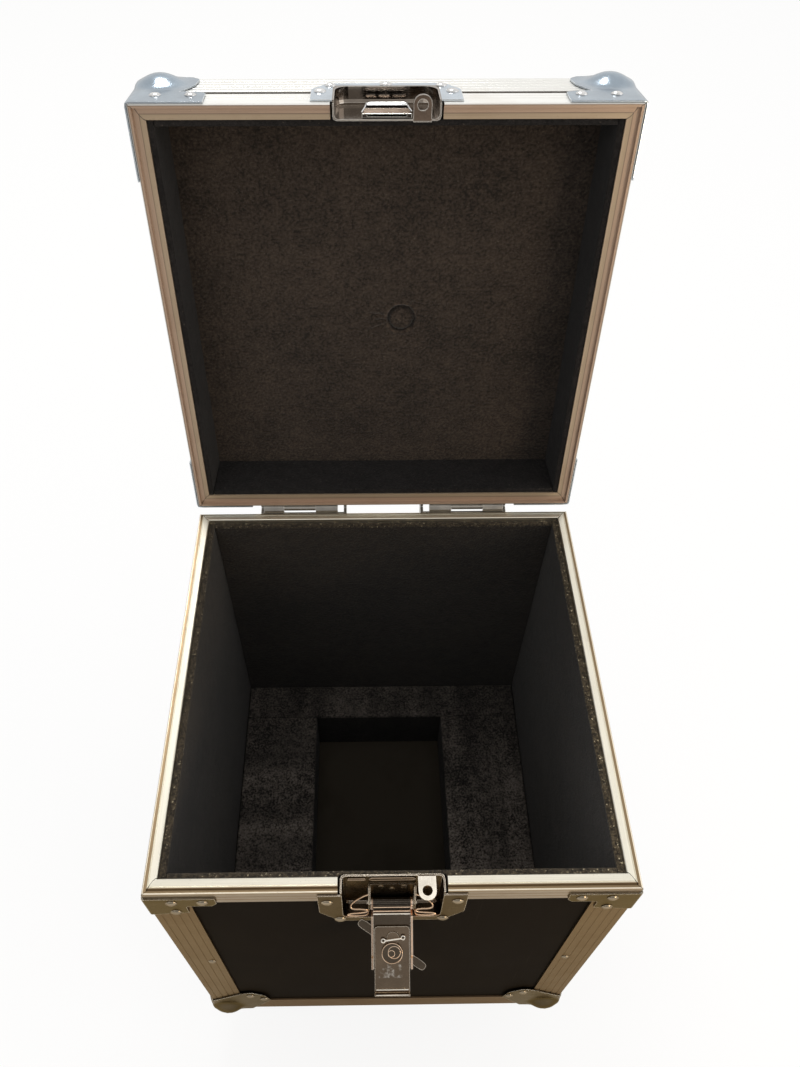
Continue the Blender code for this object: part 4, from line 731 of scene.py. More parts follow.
def rivetTree():
    global tree
    tree = bpy.data.node_groups.new("rivetHeads", "GeometryNodeTree")
    face = tree.interface
    face.new_socket("Geometry", in_out="INPUT", socket_type="NodeSocketGeometry")
    for name, value in (("Head Radius", 0.0044), ("Head Height", 0.0019), ("Rim Height", 0.0005)):
        face.new_socket(name, in_out="INPUT", socket_type="NodeSocketFloat").default_value = value
    face.new_socket("Seed", in_out="INPUT", socket_type="NodeSocketInt").default_value = 7
    face.new_socket("Finish", in_out="INPUT", socket_type="NodeSocketMaterial")
    face.new_socket("Geometry", in_out="OUTPUT", socket_type="NodeSocketGeometry")
    given = addNode("NodeGroupInput").outputs
    radius = given["Head Radius"]
    dome = addNode("GeometryNodeMeshUVSphere", {"Segments": 16, "Rings": 8, "Radius": 1.0}).outputs["Mesh"]
    dome = addNode("GeometryNodeTransform", {
        "Geometry": dome, "Scale": joined(radius, radius, given["Head Height"])})
    rim = addNode("GeometryNodeMeshCylinder", {
        "Vertices": 16, "Radius": times(radius, 1.07), "Depth": times(given["Rim Height"], 2.0)})
    both = addNode("GeometryNodeJoinGeometry", {0: dome.outputs[0]})
    setInputs(both, {0: rim.outputs["Mesh"]})
    soft = addNode("GeometryNodeSetShadeSmooth", {"Geometry": both.outputs[0]})
    facing = addNode("GeometryNodeInputNamedAttribute", {"Name": "facing"}, data_type="FLOAT_VECTOR")
    wobble = addNode("FunctionNodeRandomValue", {
        0: (-0.05, -0.05, -0.05), 1: (0.05, 0.05, 0.05), "Seed": given["Seed"]}, data_type="FLOAT_VECTOR")
    leaned = addNode("ShaderNodeVectorMath", {0: facing.outputs[0], 1: wobble.outputs[0]}, operation="ADD")
    aim = addNode("FunctionNodeAlignRotationToVector", {"Vector": leaned.outputs[0]}, axis="Z")
    size = addNode("GeometryNodeInputNamedAttribute", {"Name": "size"}, data_type="FLOAT")
    heads = addNode("GeometryNodeInstanceOnPoints", {
        "Points": given["Geometry"], "Instance": soft.outputs[0], "Rotation": aim.outputs[0],
        "Scale": size.outputs[0]})
    real = addNode("GeometryNodeRealizeInstances", {"Geometry": heads.outputs[0]})
    finish = addNode("GeometryNodeSetMaterial", {"Geometry": real.outputs[0], "Material": given["Finish"]})
    addNode("NodeGroupOutput", {0: finish.outputs[0]})
    return tree


def setInput(modifier, name, value):
    for item in modifier.node_group.interface.items_tree:
        if item.item_type == "SOCKET" and item.in_out == "INPUT" and item.name == name:
            modifier[item.identifier] = value


rivetHeads = rivetTree()


def addRivets(name, places, body, material, closedLid=False):
    # places are (point, facing, size)
    mesh = meshOf(name, [point for point, facing, size in places], [])
    mesh.attributes.new("facing", "FLOAT_VECTOR", "POINT")
    mesh.attributes.new("size", "FLOAT", "POINT")
    facings, sizes = mesh.attributes["facing"], mesh.attributes["size"]
    for k, (point, facing, size) in enumerate(places):
        direction = Vector(facing)
        if closedLid:
            mesh.vertices[k].co = openLid @ Vector(point)
            direction = lidTurn.to_3x3() @ direction
        facings.data[k].vector = direction
        sizes.data[k].value = size
    piece = addPiece(name, mesh)
    modifier = piece.modifiers.new("rivetHeads", "NODES")
    modifier.node_group = rivetHeads
    settings = {"Head Radius": 0.0044, "Head Height": 0.0019, "Seed": 7, "Finish": material}
    for inputName, value in settings.items():
        setInput(modifier, inputName, value)
    piece = settle(piece)
    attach(piece, body)


def aroundCorners(spots, height, stand, downward=False):
    # the same rivets on both faces of all four upright edges; a spot is (from the edge, from the tip)
    places = []
    for k, (sx, sy) in enumerate(cornerSigns.values()):
        turn = Matrix.Rotation(k * math.pi / 2, 3, "Z")
        corner = Vector((sx * case["half"], sy * case["half"], height))
        for away, up, size in spots:
            rise = -up if downward else up
            for local, facing in (((away, -stand, rise), (0, -1, 0)), ((-stand, away, rise), (-1, 0, 0))):
                places.append((corner + turn @ Vector(local), turn @ Vector(facing), size))
    return places


rivetPlan = {
    "ballCorner": [(0.0436, 0.0640, 1.0), (0.0570, 0.0500, 1.0)],
    "ballCornerEnd": [(0.0400, 0.0240, 1.0), (0.0240, 0.0400, 1.0)],
    "brace": [(0.0200, 0.0160, 0.95), (0.0435, 0.0155, 0.95), (0.0200, 0.0380, 0.95)],
    "upright": [(0.0240, 0.2070, 0.80)],
    "lidCorner": [(0.0180, 0.0495, 0.95), (0.0440, 0.0495, 0.95)],
    "baseLatch": [(-0.0500, -0.0190, 1.0), (0.0500, -0.0190, 1.0), (-0.0410, -0.0625, 1.0),
                  (0.0410, -0.0625, 1.0)],
    "lidLatch": [(-0.0493, 0.0270, 1.0), (0.0493, 0.0270, 1.0), (-0.0420, 0.0425, 0.9), (0.0420, 0.0425, 0.9),
                 (0.0, 0.0455, 1.0)],
}

front = -case["half"]
parting = case["parting"]
underside = case["underside"]
rivetStand = 0.0015  # a pressing's outer face stands this far off the case


def onEnds(height, facing):
    places = []
    for k, (sx, sy) in enumerate(cornerSigns.values()):
        turn = Matrix.Rotation(k * math.pi / 2, 3, "Z")
        corner = Vector((sx * case["half"], sy * case["half"], height))
        for a, b, size in rivetPlan["ballCornerEnd"]:
            places.append((corner + turn @ Vector((a, b, facing * rivetStand)), Vector((0, 0, facing)), size))
    return places


def onLatch(spots):
    return [(Vector((x, front - rivetStand, parting + z)), Vector((0, -1, 0)), size) for x, z, size in spots]


baseRivets = aroundCorners(rivetPlan["ballCorner"], underside, rivetStand)
baseRivets += aroundCorners(rivetPlan["brace"], parting, rivetStand, True)
baseRivets += aroundCorners(rivetPlan["upright"], underside, 0.0)
baseRivets += onEnds(underside, -1) + onLatch(rivetPlan["baseLatch"])
addRivets("baseRivets", baseRivets, "base", rivetSteel)
lidRivets = aroundCorners(rivetPlan["lidCorner"], case["lidTop"], rivetStand, True)
lidRivets += onEnds(case["lidTop"], 1) + onLatch(rivetPlan["lidLatch"])
addRivets("lidRivets", lidRivets, "lid", lidRivetSteel, closedLid=True)
print("rivets set")


# foam

eastward, northward, upward = Vector((1, 0, 0)), Vector((0, 1, 0)), Vector((0, 0, 1))


def foamSheet(origin, alongU, alongV, inward, spansU, spansV, inner, outer):
    # a closed slab on a grid; inner and outer give the depth of its two faces at a grid point
    points, faces = [], []
    countU, countV = len(spansU), len(spansV)
    for depth in (inner, outer):
        for u in spansU:
            for v in spansV:
                points.append(origin + alongU * u + alongV * v + inward * depth(u, v))
    back = countU * countV
    for i in range(countU - 1):
        for j in range(countV - 1):
            a = i * countV + j
            faces.append((a, a + countV, a + countV + 1, a + 1))
            faces.append((back + a, back + a + 1, back + a + countV + 1, back + a + countV))
    ring = [i * countV for i in range(countU)] + [(countU - 1) * countV + j for j in range(1, countV)]
    ring += [i * countV + countV - 1 for i in range(countU - 2, -1, -1)]
    ring += list(range(countV - 2, 0, -1))
    for a, b in zip(ring, ring[1:] + ring[:1]):
        faces.append((a, b, back + b, back + a))
    return points, faces


def spans(low, high, step, extra=(), least=0.00025):
    # evenly spread grid lines with some extra ones, none nearer than the least gap
    count = max(2, round((high - low) / step))
    values = [low + (high - low) * k / count for k in range(count + 1)] + list(extra)
    ordered = sorted({round(value, 6) for value in values})
    kept = [ordered[0]]
    for value in ordered[1:]:
        if value - kept[-1] > least:
            kept.append(value)
    kept[-1] = ordered[-1]
    return kept


def ripples(point, waves):
    return sum(noise.noise(point / size) * amount for size, amount in waves)


def layFoam(name, mesh, foam, body, node):
    dress(addPiece(name, mesh), foam, body, [node])


# heights are from where base and lid meet; way is 1 where the rim is the top edge,
# and -1 where it is the lower one
baseFoam = {
    "inner": 0.0170, "outer": 0.0091, "step": 0.0113, "pocket": 0.0136, "pocketHalf": 0.0406,
    "rim": -0.0014, "stepAt": -0.0084, "pocketAt": -0.0608, "end": 0.0075, "way": 1,
}
lidFoamShape = {
    "inner": 0.0170, "outer": 0.0091, "step": 0.0119, "pocket": 0.0121, "pocketHalf": 0.0406,
    "rim": 0.0052, "stepAt": 0.0120, "pocketAt": 0.0420, "end": 0.4598, "way": -1,
}
wallSheet = {
    "grid": 0.0052, "edges": [0.0006, 0.0012, 0.0022], "rounding": 0.0009, "sunk": 0.0005, "buttGap": 0.0002,
    "waves": [(0.055, 0.0005), (0.012, 0.00022), (0.004, 0.00010)],
}


def liningWalls(shape):
    # four sheets round the walls, thinner behind the latch and under the rim profile
    half, way, rounding = case["half"], shape["way"], wallSheet["rounding"]
    rim, stepAt, pocketAt = [parting + shape[key] for key in ("rim", "stepAt", "pocketAt")]
    low, high = sorted((rim, shape["end"]))
    points, faces = [], []
    for side in range(4):
        turn = Matrix.Rotation(side * math.pi / 2, 3, "Z")
        butt = shape["inner"] + wallSheet["buttGap"] if side % 2 == 0 else shape["outer"]
        reach = half - butt
        extraV = [rim - way * e for e in wallSheet["edges"]] + [stepAt - 0.0003, stepAt + 0.0003]
        extraU = []
        if side == 0:
            extraV += [pocketAt - 0.0004, pocketAt + 0.0004]
            extraU = [s * (shape["pocketHalf"] + d) for s in (-1, 1) for d in (0.0, 0.0008)]

        def inner(u, v):
            toEdge = (rim - v) * way
            drop = rounding - math.sqrt(max(rounding ** 2 - max(rounding - toEdge, 0) ** 2, 0))
            wave = ripples(turn @ Vector((u, -half + shape["inner"], v)), wallSheet["waves"])
            ends = min(1, (reach - abs(u)) / 0.01, toEdge / 0.004 + 0.35)
            return shape["inner"] + wave * ends - wallSheet["sunk"] - drop

        def outer(u, v):
            if side == 0 and (v - pocketAt) * way > 0 and abs(u) < shape["pocketHalf"] + 0.0004:
                return shape["pocket"]
            return shape["step"] if (v - stepAt) * way > 0 else shape["outer"]

        sheetPoints, sheetFaces = foamSheet(
            Vector((0, -half, 0)), eastward, upward, northward,
            spans(-reach, reach, wallSheet["grid"], extraU), spans(low, high, wallSheet["grid"], extraV),
            inner, outer)
        start = len(points)
        points += [turn @ p for p in sheetPoints]
        faces += [tuple(start + k for k in face) for face in sheetFaces]
    mesh = facingOut(meshOf("lining", points, faces))
    if way < 0:
        mesh.transform(openLid)
    return mesh


wallFoam = cutFoam("wallFoam", (0.0070, 0.0052, 0.0036), (0.0300, 0.0225, 0.0160), sheen=0.1, crumbs=True)
padGrain = {"dark": (0.0300, 0.0255, 0.0215), "light": (0.640, 0.545, 0.470), "sheen": 0.05, "gloss": 0.10,
            "contrast": 0.085}
# waves set the stretch of each pad's bands of painted light
leftPadFoam = cutFoam("leftPadFoam", waves=(3, 30, 3), **padGrain)
rightPadFoam = cutFoam("rightPadFoam", waves=(38, 3, 3), **padGrain)
lidFoam = cutFoam("lidFoam", (0.0115, 0.0078, 0.0052), (0.063, 0.045, 0.033), closedLid=True, size=1.1,
                  dent=(0.016, 0.009))
lidSideFoam = cutFoam("lidSideFoam", (0.0060, 0.0050, 0.0048), (0.0220, 0.0190, 0.0180), closedLid=True,
                      sheen=0.05)

layFoam("baseLining", liningWalls(baseFoam), wallFoam, "base", "base_foam_lining")
layFoam("lidLining", liningWalls(lidFoamShape), lidSideFoam, "lid", "lid_foam_sides")

lidCeiling = {
    "half": 0.1788, "top": 0.4641, "under": 0.4602, "grid": 0.0040,
    "dent": (0.016, 0.009), "dentRadius": 0.0120, "dentGrid": 0.0012, "bowl": 0.0005,
    "ring": (0.0021, 0.0013), "swelling": (0.0007, 0.0014, 0.0028),  # height, spread and distance outwards
    "creaseDepth": 0.0018, "creaseWidth": 0.0012,
    "waves": [(0.07, 0.0006), (0.016, 0.00025), (0.0045, 0.00014)],
    # (angle, start, length) of the creases, from the dent's centre
    "creases": [(2.75, 0.012, 0.022), (3.30, 0.012, 0.020), (3.05, 0.014, 0.012), (5.3, 0.011, 0.010)],
}


def ceilingFoam():
    # a glued sheet with long soft waves, one round dent and the creases that run away from it
    shape = lidCeiling
    half = shape["half"]
    dentX, dentY = shape["dent"]
    (ringDepth, ringSpread), (swellRise, swellSpread, swellOut) = shape["ring"], shape["swelling"]
    spansU = spans(-half, half, shape["grid"], [dentX + shape["dentGrid"] * k for k in range(-28, 16)])
    spansV = spans(-half, half, shape["grid"], [dentY + shape["dentGrid"] * k for k in range(-16, 17)])

    def lower(u, v):
        wave = ripples(Vector((u, v, 0)), shape["waves"])
        away = math.hypot(u - dentX, v - dentY)
        ringed = math.exp(-((away - shape["dentRadius"]) / ringSpread) ** 2) * ringDepth
        ringed -= math.exp(-((away - shape["dentRadius"] - swellOut) / swellSpread) ** 2) * swellRise
        bowl = -shape["bowl"] * max(0, 1 - (away / shape["dentRadius"]) ** 2)
        creases = 0
        for angle, start, length in shape["creases"]:
            along = (u - dentX) * math.cos(angle) + (v - dentY) * math.sin(angle)
            beside = -(u - dentX) * math.sin(angle) + (v - dentY) * math.cos(angle)
            if start < along < start + length:
                fade = math.sin(math.pi * (along - start) / length)
                creases += shape["creaseDepth"] * fade * math.exp(-(beside / shape["creaseWidth"]) ** 2)
        return wave - ringed - bowl - creases

    sheetPoints, sheetFaces = foamSheet(
        upward * shape["under"], eastward, northward, -upward, spansU, spansV,
        lambda u, v: min(lower(u, v), 0.0012) - 0.0002, lambda u, v: shape["under"] - shape["top"])
    mesh = facingOut(meshOf("ceiling", sheetPoints, sheetFaces))
    mesh.transform(openLid)
    return mesh


layFoam("lidCeilingFoam", ceilingFoam(), lidFoam, "lid", "lid_foam_ceiling")

floorPads = {
    "foot": 0.0075, "top": 0.0803, "edge": 0.0026, "grid": 0.0036,
    "left": {"low": (-0.1707, -0.1707), "high": (-0.0830, 0.1267), "wave": (0, 1),
             "pitch": 0.021, "swell": 0.0007},
    "right": {"low": (0.0750, -0.1707), "high": (0.1707, 0.1267), "wave": (1, 0.12),
              "pitch": 0.018, "swell": 0.0006},
    "back": {"low": (-0.1707, 0.1270), "high": (0.1707, 0.1707), "wave": (0.2, 1),
             "pitch": 0.030, "swell": 0.0004},
    "bump": {"place": (0.134, -0.034), "radius": 0.0095, "rise": 0.0011},
    "waves": [(0.05, 0.0010), (0.009, 0.0003), (0.0035, 0.00018)],
}


def floorPad(name):
    # a thick block, soft at its top edges, with the shallow waves left by the saw
    shape = floorPads[name]
    (lowX, lowY), (highX, highY) = shape["low"], shape["high"]
    edge = floorPads["edge"]
    rims = [edge * k / 5 for k in range(6)]
    spansU = spans(lowX, highX, floorPads["grid"], [lowX + r for r in rims] + [highX - r for r in rims])
    spansV = spans(lowY, highY, floorPads["grid"], [lowY + r for r in rims] + [highY - r for r in rims])
    across = Vector((*shape["wave"], 0)).normalized()
    bump = floorPads["bump"]

    def upper(u, v):
        toEdge = min(u - lowX, highX - u, v - lowY, highY - v)
        drop = edge - math.sqrt(max(edge ** 2 - max(edge - toEdge, 0) ** 2, 0))
        spot = Vector((u, v, 0.0))
        swing = noise.noise(spot / 0.06) * 1.6
        wave = math.sin(2 * math.pi * (spot.dot(across) / shape["pitch"]) + 2.2 * swing) * shape["swell"]
        wave += ripples(spot, floorPads["waves"])
        away = math.hypot(u - bump["place"][0], v - bump["place"][1]) / bump["radius"]
        lift = bump["rise"] * max(0, 1 - away ** 4) if away < 1 else 0
        lift -= 0.0005 * math.exp(-((away - 1.08) / 0.09) ** 2)
        calm = min(1, toEdge / 0.006)
        return (wave - 0.0010) * calm + lift - drop

    sheetPoints, sheetFaces = foamSheet(
        upward * floorPads["top"], eastward, northward, upward, spansU, spansV,
        lambda u, v: min(upper(u, v), 0.0008), lambda u, v: floorPads["foot"] - floorPads["top"])
    return facingOut(meshOf("pad", sheetPoints, sheetFaces))


for padName, padFoam in (("left", leftPadFoam), ("right", rightPadFoam), ("back", rightPadFoam)):
    layFoam(padName + "FloorPad", floorPad(padName), padFoam, "base", padName + "_floor_pad")
print("foam laid")


# the latch's wire spring, the clip on its hook, small pressed marks and a bright bar of painted highlight on
# the arm's top edge

latch = {
    "wire": 0.00078,
    "spring": [
        (-0.0185, 0.0030, 0.0085), (-0.0225, 0.0022, 0.0070), (-0.0280, 0.0006, 0.0030),
        (-0.0318, -0.0016, 0.0002), (-0.0322, -0.0034, -0.0022), (-0.0295, -0.0042, -0.0036),
        (-0.0240, -0.0042, -0.0042), (-0.0196, -0.0044, -0.0056), (-0.0200, -0.0050, -0.0084),
        (-0.0250, -0.0054, -0.0098), (-0.0320, -0.0056, -0.0106), (-0.0350, -0.0060, -0.0122),
        (-0.0320, -0.0064, -0.0136), (-0.0250, -0.0064, -0.0138), (-0.0196, -0.0056, -0.0138),
        (-0.0176, -0.0020, -0.0128), (-0.0120, 0.0016, -0.0105), (-0.0060, 0.0022, -0.0100),
    ],
    "plateFace": -0.0030,  # the arm's inner face, in the arm's own frame
    "bladeFace": -0.0012,
    "discFace": 0.0004,
    "ringSides": 28,
    "crossings": [0.0054, 0.0086], "crossingHalf": 0.0148,
    "plateTop": 0.0109, "topHalf": 0.0147,
    "boss": (0.0006, 0.0292, 0.0053),
    "clip": [(-0.0053, 0.0306), (0.0070, 0.0290)],  # near enough to the pin for the cam to turn past
    "clipRings": [(-0.0070, 0.0308), (0.0087, 0.0286)],
    "clipRing": 0.0014, "clipLift": 0.0017, "clipWire": 0.0007, "ringWire": 0.00055,
    "bladeHalf": 0.0128,
    "hookLines": [(0.0703, 0.0002, 0.0008), (0.0727, 0.0036, 0.0004)],  # along, off the blade, wire
    "discRings": [(0.0, 0.0410, 0.0080, 0.0004), (-0.0006, 0.0412, 0.0026, 0.00035),
                  (0.0016, 0.0402, 0.0048, 0.00035)],
}
springRoute = latch["spring"] + [(-x, y, z) for x, y, z in reversed(latch["spring"])]
spring = tube("latchSpring", smoothPath([latchPivot + Vector(p) for p in springRoute], 6), latch["wire"])
dress(spring, springSteel, "base", replaced=["latch_spring"])


def armPlace(x, depth, along):
    # a point given on the shut arm, moved to where the open arm hangs
    return latchPivot + (armTurn @ Vector((x, depth, along)))


def joinedPiece(name, pieces, material, body):
    # several small wires become one piece
    group = bmesh.new()
    for piece in pieces:
        group.from_mesh(piece.data)
        bpy.data.objects.remove(piece)
    mesh = bpy.data.meshes.new(name)
    group.to_mesh(mesh)
    group.free()
    return dress(addPiece(name, mesh), material, body)


def ringOn(x, along, radius, depth, wire):
    angles = [2 * math.pi * k / latch["ringSides"] for k in range(latch["ringSides"])]
    path = [armPlace(x + radius * math.cos(a), depth, along + radius * math.sin(a)) for a in angles]
    return tube("ring", path, wire, closed=True, resolution=2)


def barOn(points, depth, wire):
    return tube("bar", [armPlace(x, depth, along) for x, along in points], wire, resolution=2)


def crossBar(half, along, depth, wire):
    return barOn([(-half, along), (half, along)], depth, wire)


faceOut = armTurn.to_3x3() @ Matrix.Rotation(-math.pi / 2, 3, "X")
crossings = [crossBar(latch["crossingHalf"], along, latch["plateFace"] + 0.0004, 0.00062)
             for along in latch["crossings"]]
joinedPiece("armWires", crossings, paleCopper, "latch_arm")
# a bright bar along the arm plate's top edge: painted highlight
topEdgeHighlight = crossBar(latch["topHalf"], latch["plateTop"], latch["plateFace"] + 0.0002, 0.0007)
joinedPiece("armTopEdgeHighlight", [topEdgeHighlight], brightSteel, "latch_arm")

bossX, bossAlong, bossRadius = latch["boss"]
bossProfile = [(0.0, -0.0002), (bossRadius, -0.0002), (bossRadius, 0.0003), (bossRadius * 0.93, 0.0007),
               (bossRadius * 0.6, 0.0009), (0.0, 0.0010)]
boss = lathed("hookBoss", bossProfile, 40, faceOut, armPlace(bossX, latch["bladeFace"], bossAlong))
dress(boss, hookSteel, "latch_hook")
clipDepth = latch["bladeFace"] + latch["clipLift"]
clipWires = [barOn(latch["clip"], clipDepth, latch["clipWire"])]
clipWires += [ringOn(x, along, latch["clipRing"], clipDepth, latch["ringWire"])
              for x, along in latch["clipRings"]]
joinedPiece("hookClip", clipWires, brightSteel, "latch_hook")
hookLines = [crossBar(latch["bladeHalf"], along, latch["bladeFace"] + lift, wire)
             for along, lift, wire in latch["hookLines"]]
joinedPiece("hookLines", hookLines, brightSteel, "latch_hook")
discWires = [ringOn(x, along, radius, latch["discFace"], wire)
             for x, along, radius, wire in latch["discRings"]]
joinedPiece("camRings", discWires, paleCopper, "latch_butterfly")
print("latch details made")


# pressed lines in the base latch's dish, and bright wires of painted highlight on the lid latch's slot and
# hood edges

dishMarks = {
    "bead": (0.0175, -0.0075, -0.0030), "sideBead": (-0.0345, -0.0205, -0.0072, -0.0040), "beadDepth": 0.0114,
    # loop, bars and flare place the lid latch's painted highlights
    "loop": (0.0150, 0.4192, 0.4236), "loopDepth": 0.0047,
    "bars": [(-0.0150, -0.0078), (-0.0050, 0.0030), (0.0058, 0.0150)], "barHeight": 0.4312,
    "barDepth": 0.0086,
    "flare": [(0.0156, 0.0048, 0.4190), (0.0160, 0.0050, 0.4150), (0.0182, 0.0062, 0.4085)],
}


def loopWire(lowX, highX, lowZ, highZ, depth, wire):
    bend = (highZ - lowZ) / 2
    middle = (highZ + lowZ) / 2
    path = []
    for centre, start in ((highX - bend, -90), (lowX + bend, 90)):
        for k in range(9):
            angle = math.radians(start + 180 * k / 8)
            spot = (centre + bend * math.cos(angle), front + depth, middle + bend * math.sin(angle))
            path.append(Vector(spot))
    return tube("loop", path, wire, closed=True, resolution=2)


beadHalf, beadLow, beadHigh = dishMarks["bead"]
beads = [loopWire(-beadHalf, beadHalf, parting + beadLow, parting + beadHigh, dishMarks["beadDepth"], 0.0005)]
sideLow, sideHigh, sideBottom, sideTop = dishMarks["sideBead"]
beads.append(loopWire(sideLow, sideHigh, parting + sideBottom, parting + sideTop,
                      dishMarks["beadDepth"], 0.0005))
joinedPiece("dishBeads", beads, darkCopper, "base")

# bright wires along the lid latch's hood, flare and slot edges: painted highlights
loopHalf, loopLow, loopHigh = dishMarks["loop"]
lidLatchHighlightWires = [loopWire(-loopHalf, loopHalf, loopLow, loopHigh, dishMarks["loopDepth"], 0.0008)]
for sign in (-1, 1):
    sideLine = [Vector((sign * x, front + y, z)) for x, y, z in dishMarks["flare"]]
    lidLatchHighlightWires.append(tube("flare", sideLine, 0.00055, resolution=2))
for ends in dishMarks["bars"]:
    slotLine = [Vector((x, front + dishMarks["barDepth"], dishMarks["barHeight"])) for x in ends]
    lidLatchHighlightWires.append(tube("slotBar", slotLine, 0.0008, resolution=2))
for piece in lidLatchHighlightWires:
    piece.data.transform(openLid)
joinedPiece("lidLatchHighlightLines", lidLatchHighlightWires, lidRivetSteel, "lid")
print("pressed lines made")


# castor wheels and handles

wheelShape = {
    "radius": 0.0250, "halfWidth": 0.0090, "hub": 0.0100, "axle": 0.0043, "sides": 72, "inset": 0.068,
    "height": -0.0450, "trail": 0.020,
}
tyreRubber = mouldedRubber("tyreRubber", (0.040, 0.040, 0.043))


def wheelProfile():
    rim, half, hub = wheelShape["radius"], wheelShape["halfWidth"], wheelShape["hub"]
    side = [(rim - 0.0001, 0.0), (rim - 0.0001, half - 0.0042), (rim - 0.0006, half - 0.0022),
            (rim - 0.0018, half - 0.0007), (rim - 0.0035, half - 0.0001), (rim - 0.0058, half - 0.0001),
            (rim - 0.0066, half - 0.0009), (rim - 0.0070, half - 0.0024), (0.0128, half - 0.0026),
            (0.0100, half - 0.0020), (0.0092, half - 0.0004), (0.0085, hub - 0.0004), (0.0079, hub),
            (wheelShape["axle"], hub)]
    return [(r, -z) for r, z in reversed(side[1:])] + side


for end, side in (("front", "left"), ("front", "right"), ("back", "left"), ("back", "right")):
    reach = case["half"] - wheelShape["inset"]
    away = reach if end == "back" else -reach + wheelShape["trail"]
    place = Vector((reach if side == "right" else -reach, away, wheelShape["height"]))
    sideways = Matrix.Rotation(math.pi / 2, 3, "Y")
    wheel = lathed(f"wheel.{end}.{side}", wheelProfile(), wheelShape["sides"], sideways, place)
    dress(wheel, tyreRubber, f"{end}_{side}_wheel", [f"{end}_{side}_castor_wheel"])

handleShape = {
    "pivotX": 0.1946, "pivotZ": 0.2552, "span": 0.0540, "fall": 0.0420, "rod": 0.0035, "bend": 0.0036,
    "foot": 0.0104, "bore": 0.0034, "grip": 0.0060, "gripHalf": 0.0375, "ridges": 12, "ridgeDepth": 0.00040,
}
gripRubber = mouldedRubber("gripRubber", (0.022, 0.021, 0.021))
for side, sign in (("left", -1), ("right", 1)):
    shape = handleShape
    pivot = Vector((sign * shape["pivotX"], 0, shape["pivotZ"]))
    span, fall = shape["span"], shape["fall"]
    foot = span + shape["foot"]
    outline = [(-foot, 0), (-span, 0), (-span, -fall), (span, -fall), (span, 0), (foot, 0)]
    bend = roundedOutline(outline, [shape["bend"]] * 4, 8)
    rod = tube(side + "Bail", [pivot + Vector((0, p.x, p.y)) for p in bend], shape["rod"], resolution=6)
    dress(rod, castorSteel, side + "_bail", replaced=[side + "_handle_bail"])
    grip, half, ridges = shape["grip"], shape["gripHalf"], shape["ridges"]
    profile = [(shape["bore"], -half), (grip - 0.0012, -half), (grip - 0.0002, -half + 0.0012)]
    for k in range(ridges * 4 + 1):
        height = (-half + 0.003) + (2 * half - 0.006) * k / (ridges * 4)
        profile.append((grip - 0.00045 + shape["ridgeDepth"] * math.cos(2 * math.pi * k / 4), height))
    profile += [(grip - 0.0002, half - 0.0012), (grip - 0.0012, half), (shape["bore"], half)]
    lengthwise = Matrix.Rotation(math.pi / 2, 3, "X")
    sleeve = lathed(side + "Grip", profile, 40, lengthwise, pivot + upward * -fall)
    dress(sleeve, gripRubber, side + "_bail")
print("wheels and handles made")


# floor, lamps and surroundings

studio = {
    "floorColour": (0.84, 0.83, 0.81),
    "floorGlow": 0.86,  # how far the floor goes to plain white for the camera
    "mirrorGlow": 0.16,  # and in the metal, where the case's own shadow stays
    "aim": (0, 0.05, 0.30),
    "lamps": {  # power, place, size, colour and, where it isn't the usual one, aim
        "key": (44, (-0.3, 1.9, 3.1), (1.0, 0.8), (1, 1, 1)),
        "fill": (9, (-1.9, -2.2, 2.6), (2.2, 2.2), (1, 1, 1)),
        "side": (11, (2.6, -0.2, 1.9), (1.6, 1.6), (1, 1, 1)),
        "warm": (4.5, (0.85, -0.95, 0.60), (0.4, 0.4), (1.0, 0.80, 0.56), (0.22, -0.25, 0.0)),
    },
    "overhead": 0.62, "backGlow": 0.70, "rightGlow": 0.20, "front": 0.18,
}
floorMesh = meshOf("studioFloor", [(-9, -9, case["floor"]), (9, -9, case["floor"]), (9, 9, case["floor"]),
                                   (-9, 9, case["floor"])], [(0, 1, 2, 3)])
studioFloor = addPiece("studioFloor", floorMesh)
floorMaterial, floorShader = newMaterial("paleFloor")
mottle = noiseAt(placeOf(), 3.0, 3.0)
floorShade = mixColours(mottle, [c * 0.985 for c in studio["floorColour"]], studio["floorColour"])
setInputs(floorShader, {"Base Color": floorShade, "Roughness": 0.9, "Specular IOR Level": 0.1})
floorWhite = addNode("ShaderNodeEmission", {"Color": (1, 1, 1, 1), "Strength": 1.0})
rays = addNode("ShaderNodeLightPath").outputs
mirrored = larger(rays["Is Glossy Ray"], rays["Is Transmission Ray"])
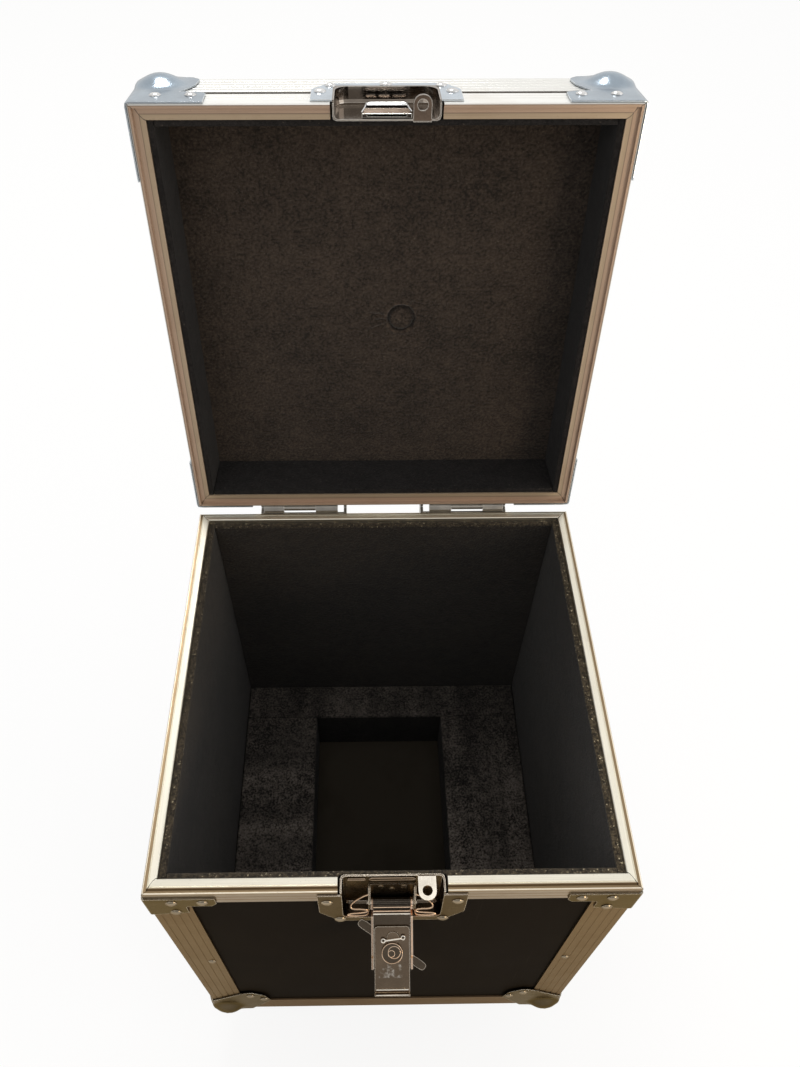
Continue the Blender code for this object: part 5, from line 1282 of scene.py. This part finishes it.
glow = timesPlus(rays["Is Camera Ray"], studio["floorGlow"], times(mirrored, studio["mirrorGlow"]))
floorMix = addNode("ShaderNodeMixShader", {0: glow, 1: floorShader.outputs[0], 2: floorWhite.outputs[0]})
setInputs(tree.nodes["Material Output"], {"Surface": floorMix.outputs[0]})
floorMesh.materials.append(floorMaterial)


def softLamp(name, power, place, size, colour, aim=studio["aim"]):
    lamp = bpy.data.lights.new(name, "AREA")
    lamp.shape = "RECTANGLE"
    lamp.size, lamp.size_y = size
    lamp.energy = power
    lamp.color = colour
    holder = bpy.data.objects.new(name, lamp)
    holder.location = place
    holder.rotation_euler = (Vector(aim) - Vector(place)).to_track_quat("-Z", "Y").to_euler()
    bpy.context.scene.collection.objects.link(holder)


for lampName, lampSetting in studio["lamps"].items():
    softLamp(lampName + "Lamp", *lampSetting)

# the surroundings are bright behind, plainer above and dim in front; the camera sees
# white beyond the floor, and metal sees a little of that white
world = bpy.data.worlds.new("studioWorld")
bpy.context.scene.world = world
world.use_nodes = True
tree = world.node_tree
tree.nodes.clear()
east, north, up = split(addNode("ShaderNodeTexCoord").outputs["Generated"])
level = plus(times(reshape(up, (0.0, 0.0), (0.9, 1.0)), studio["overhead"]), studio["front"])
behind = times(reshape(north, (0.05, 0.0), (0.75, 1.0)), studio["backGlow"])
beside = times(reshape(east, (0.10, 0.0), (0.80, 1.0)), studio["rightGlow"])
level = calculate("MINIMUM", plus(level, plus(behind, beside)), 1.0)
around = addNode("ShaderNodeBackground", {"Color": (1, 0.985, 0.96, 1), "Strength": level})
white = addNode("ShaderNodeBackground", {"Color": (1, 1, 1, 1), "Strength": 1.0})
rays = addNode("ShaderNodeLightPath").outputs
mirrored = larger(rays["Is Glossy Ray"], rays["Is Transmission Ray"])
glow = timesPlus(mirrored, studio["mirrorGlow"], rays["Is Camera Ray"])
chosen = addNode("ShaderNodeMixShader", {0: glow, 1: around.outputs[0], 2: white.outputs[0]})
addNode("ShaderNodeOutputWorld", {"Surface": chosen.outputs[0]})
bpy.context.scene.view_settings.view_transform = "Standard"
print("studio lit")
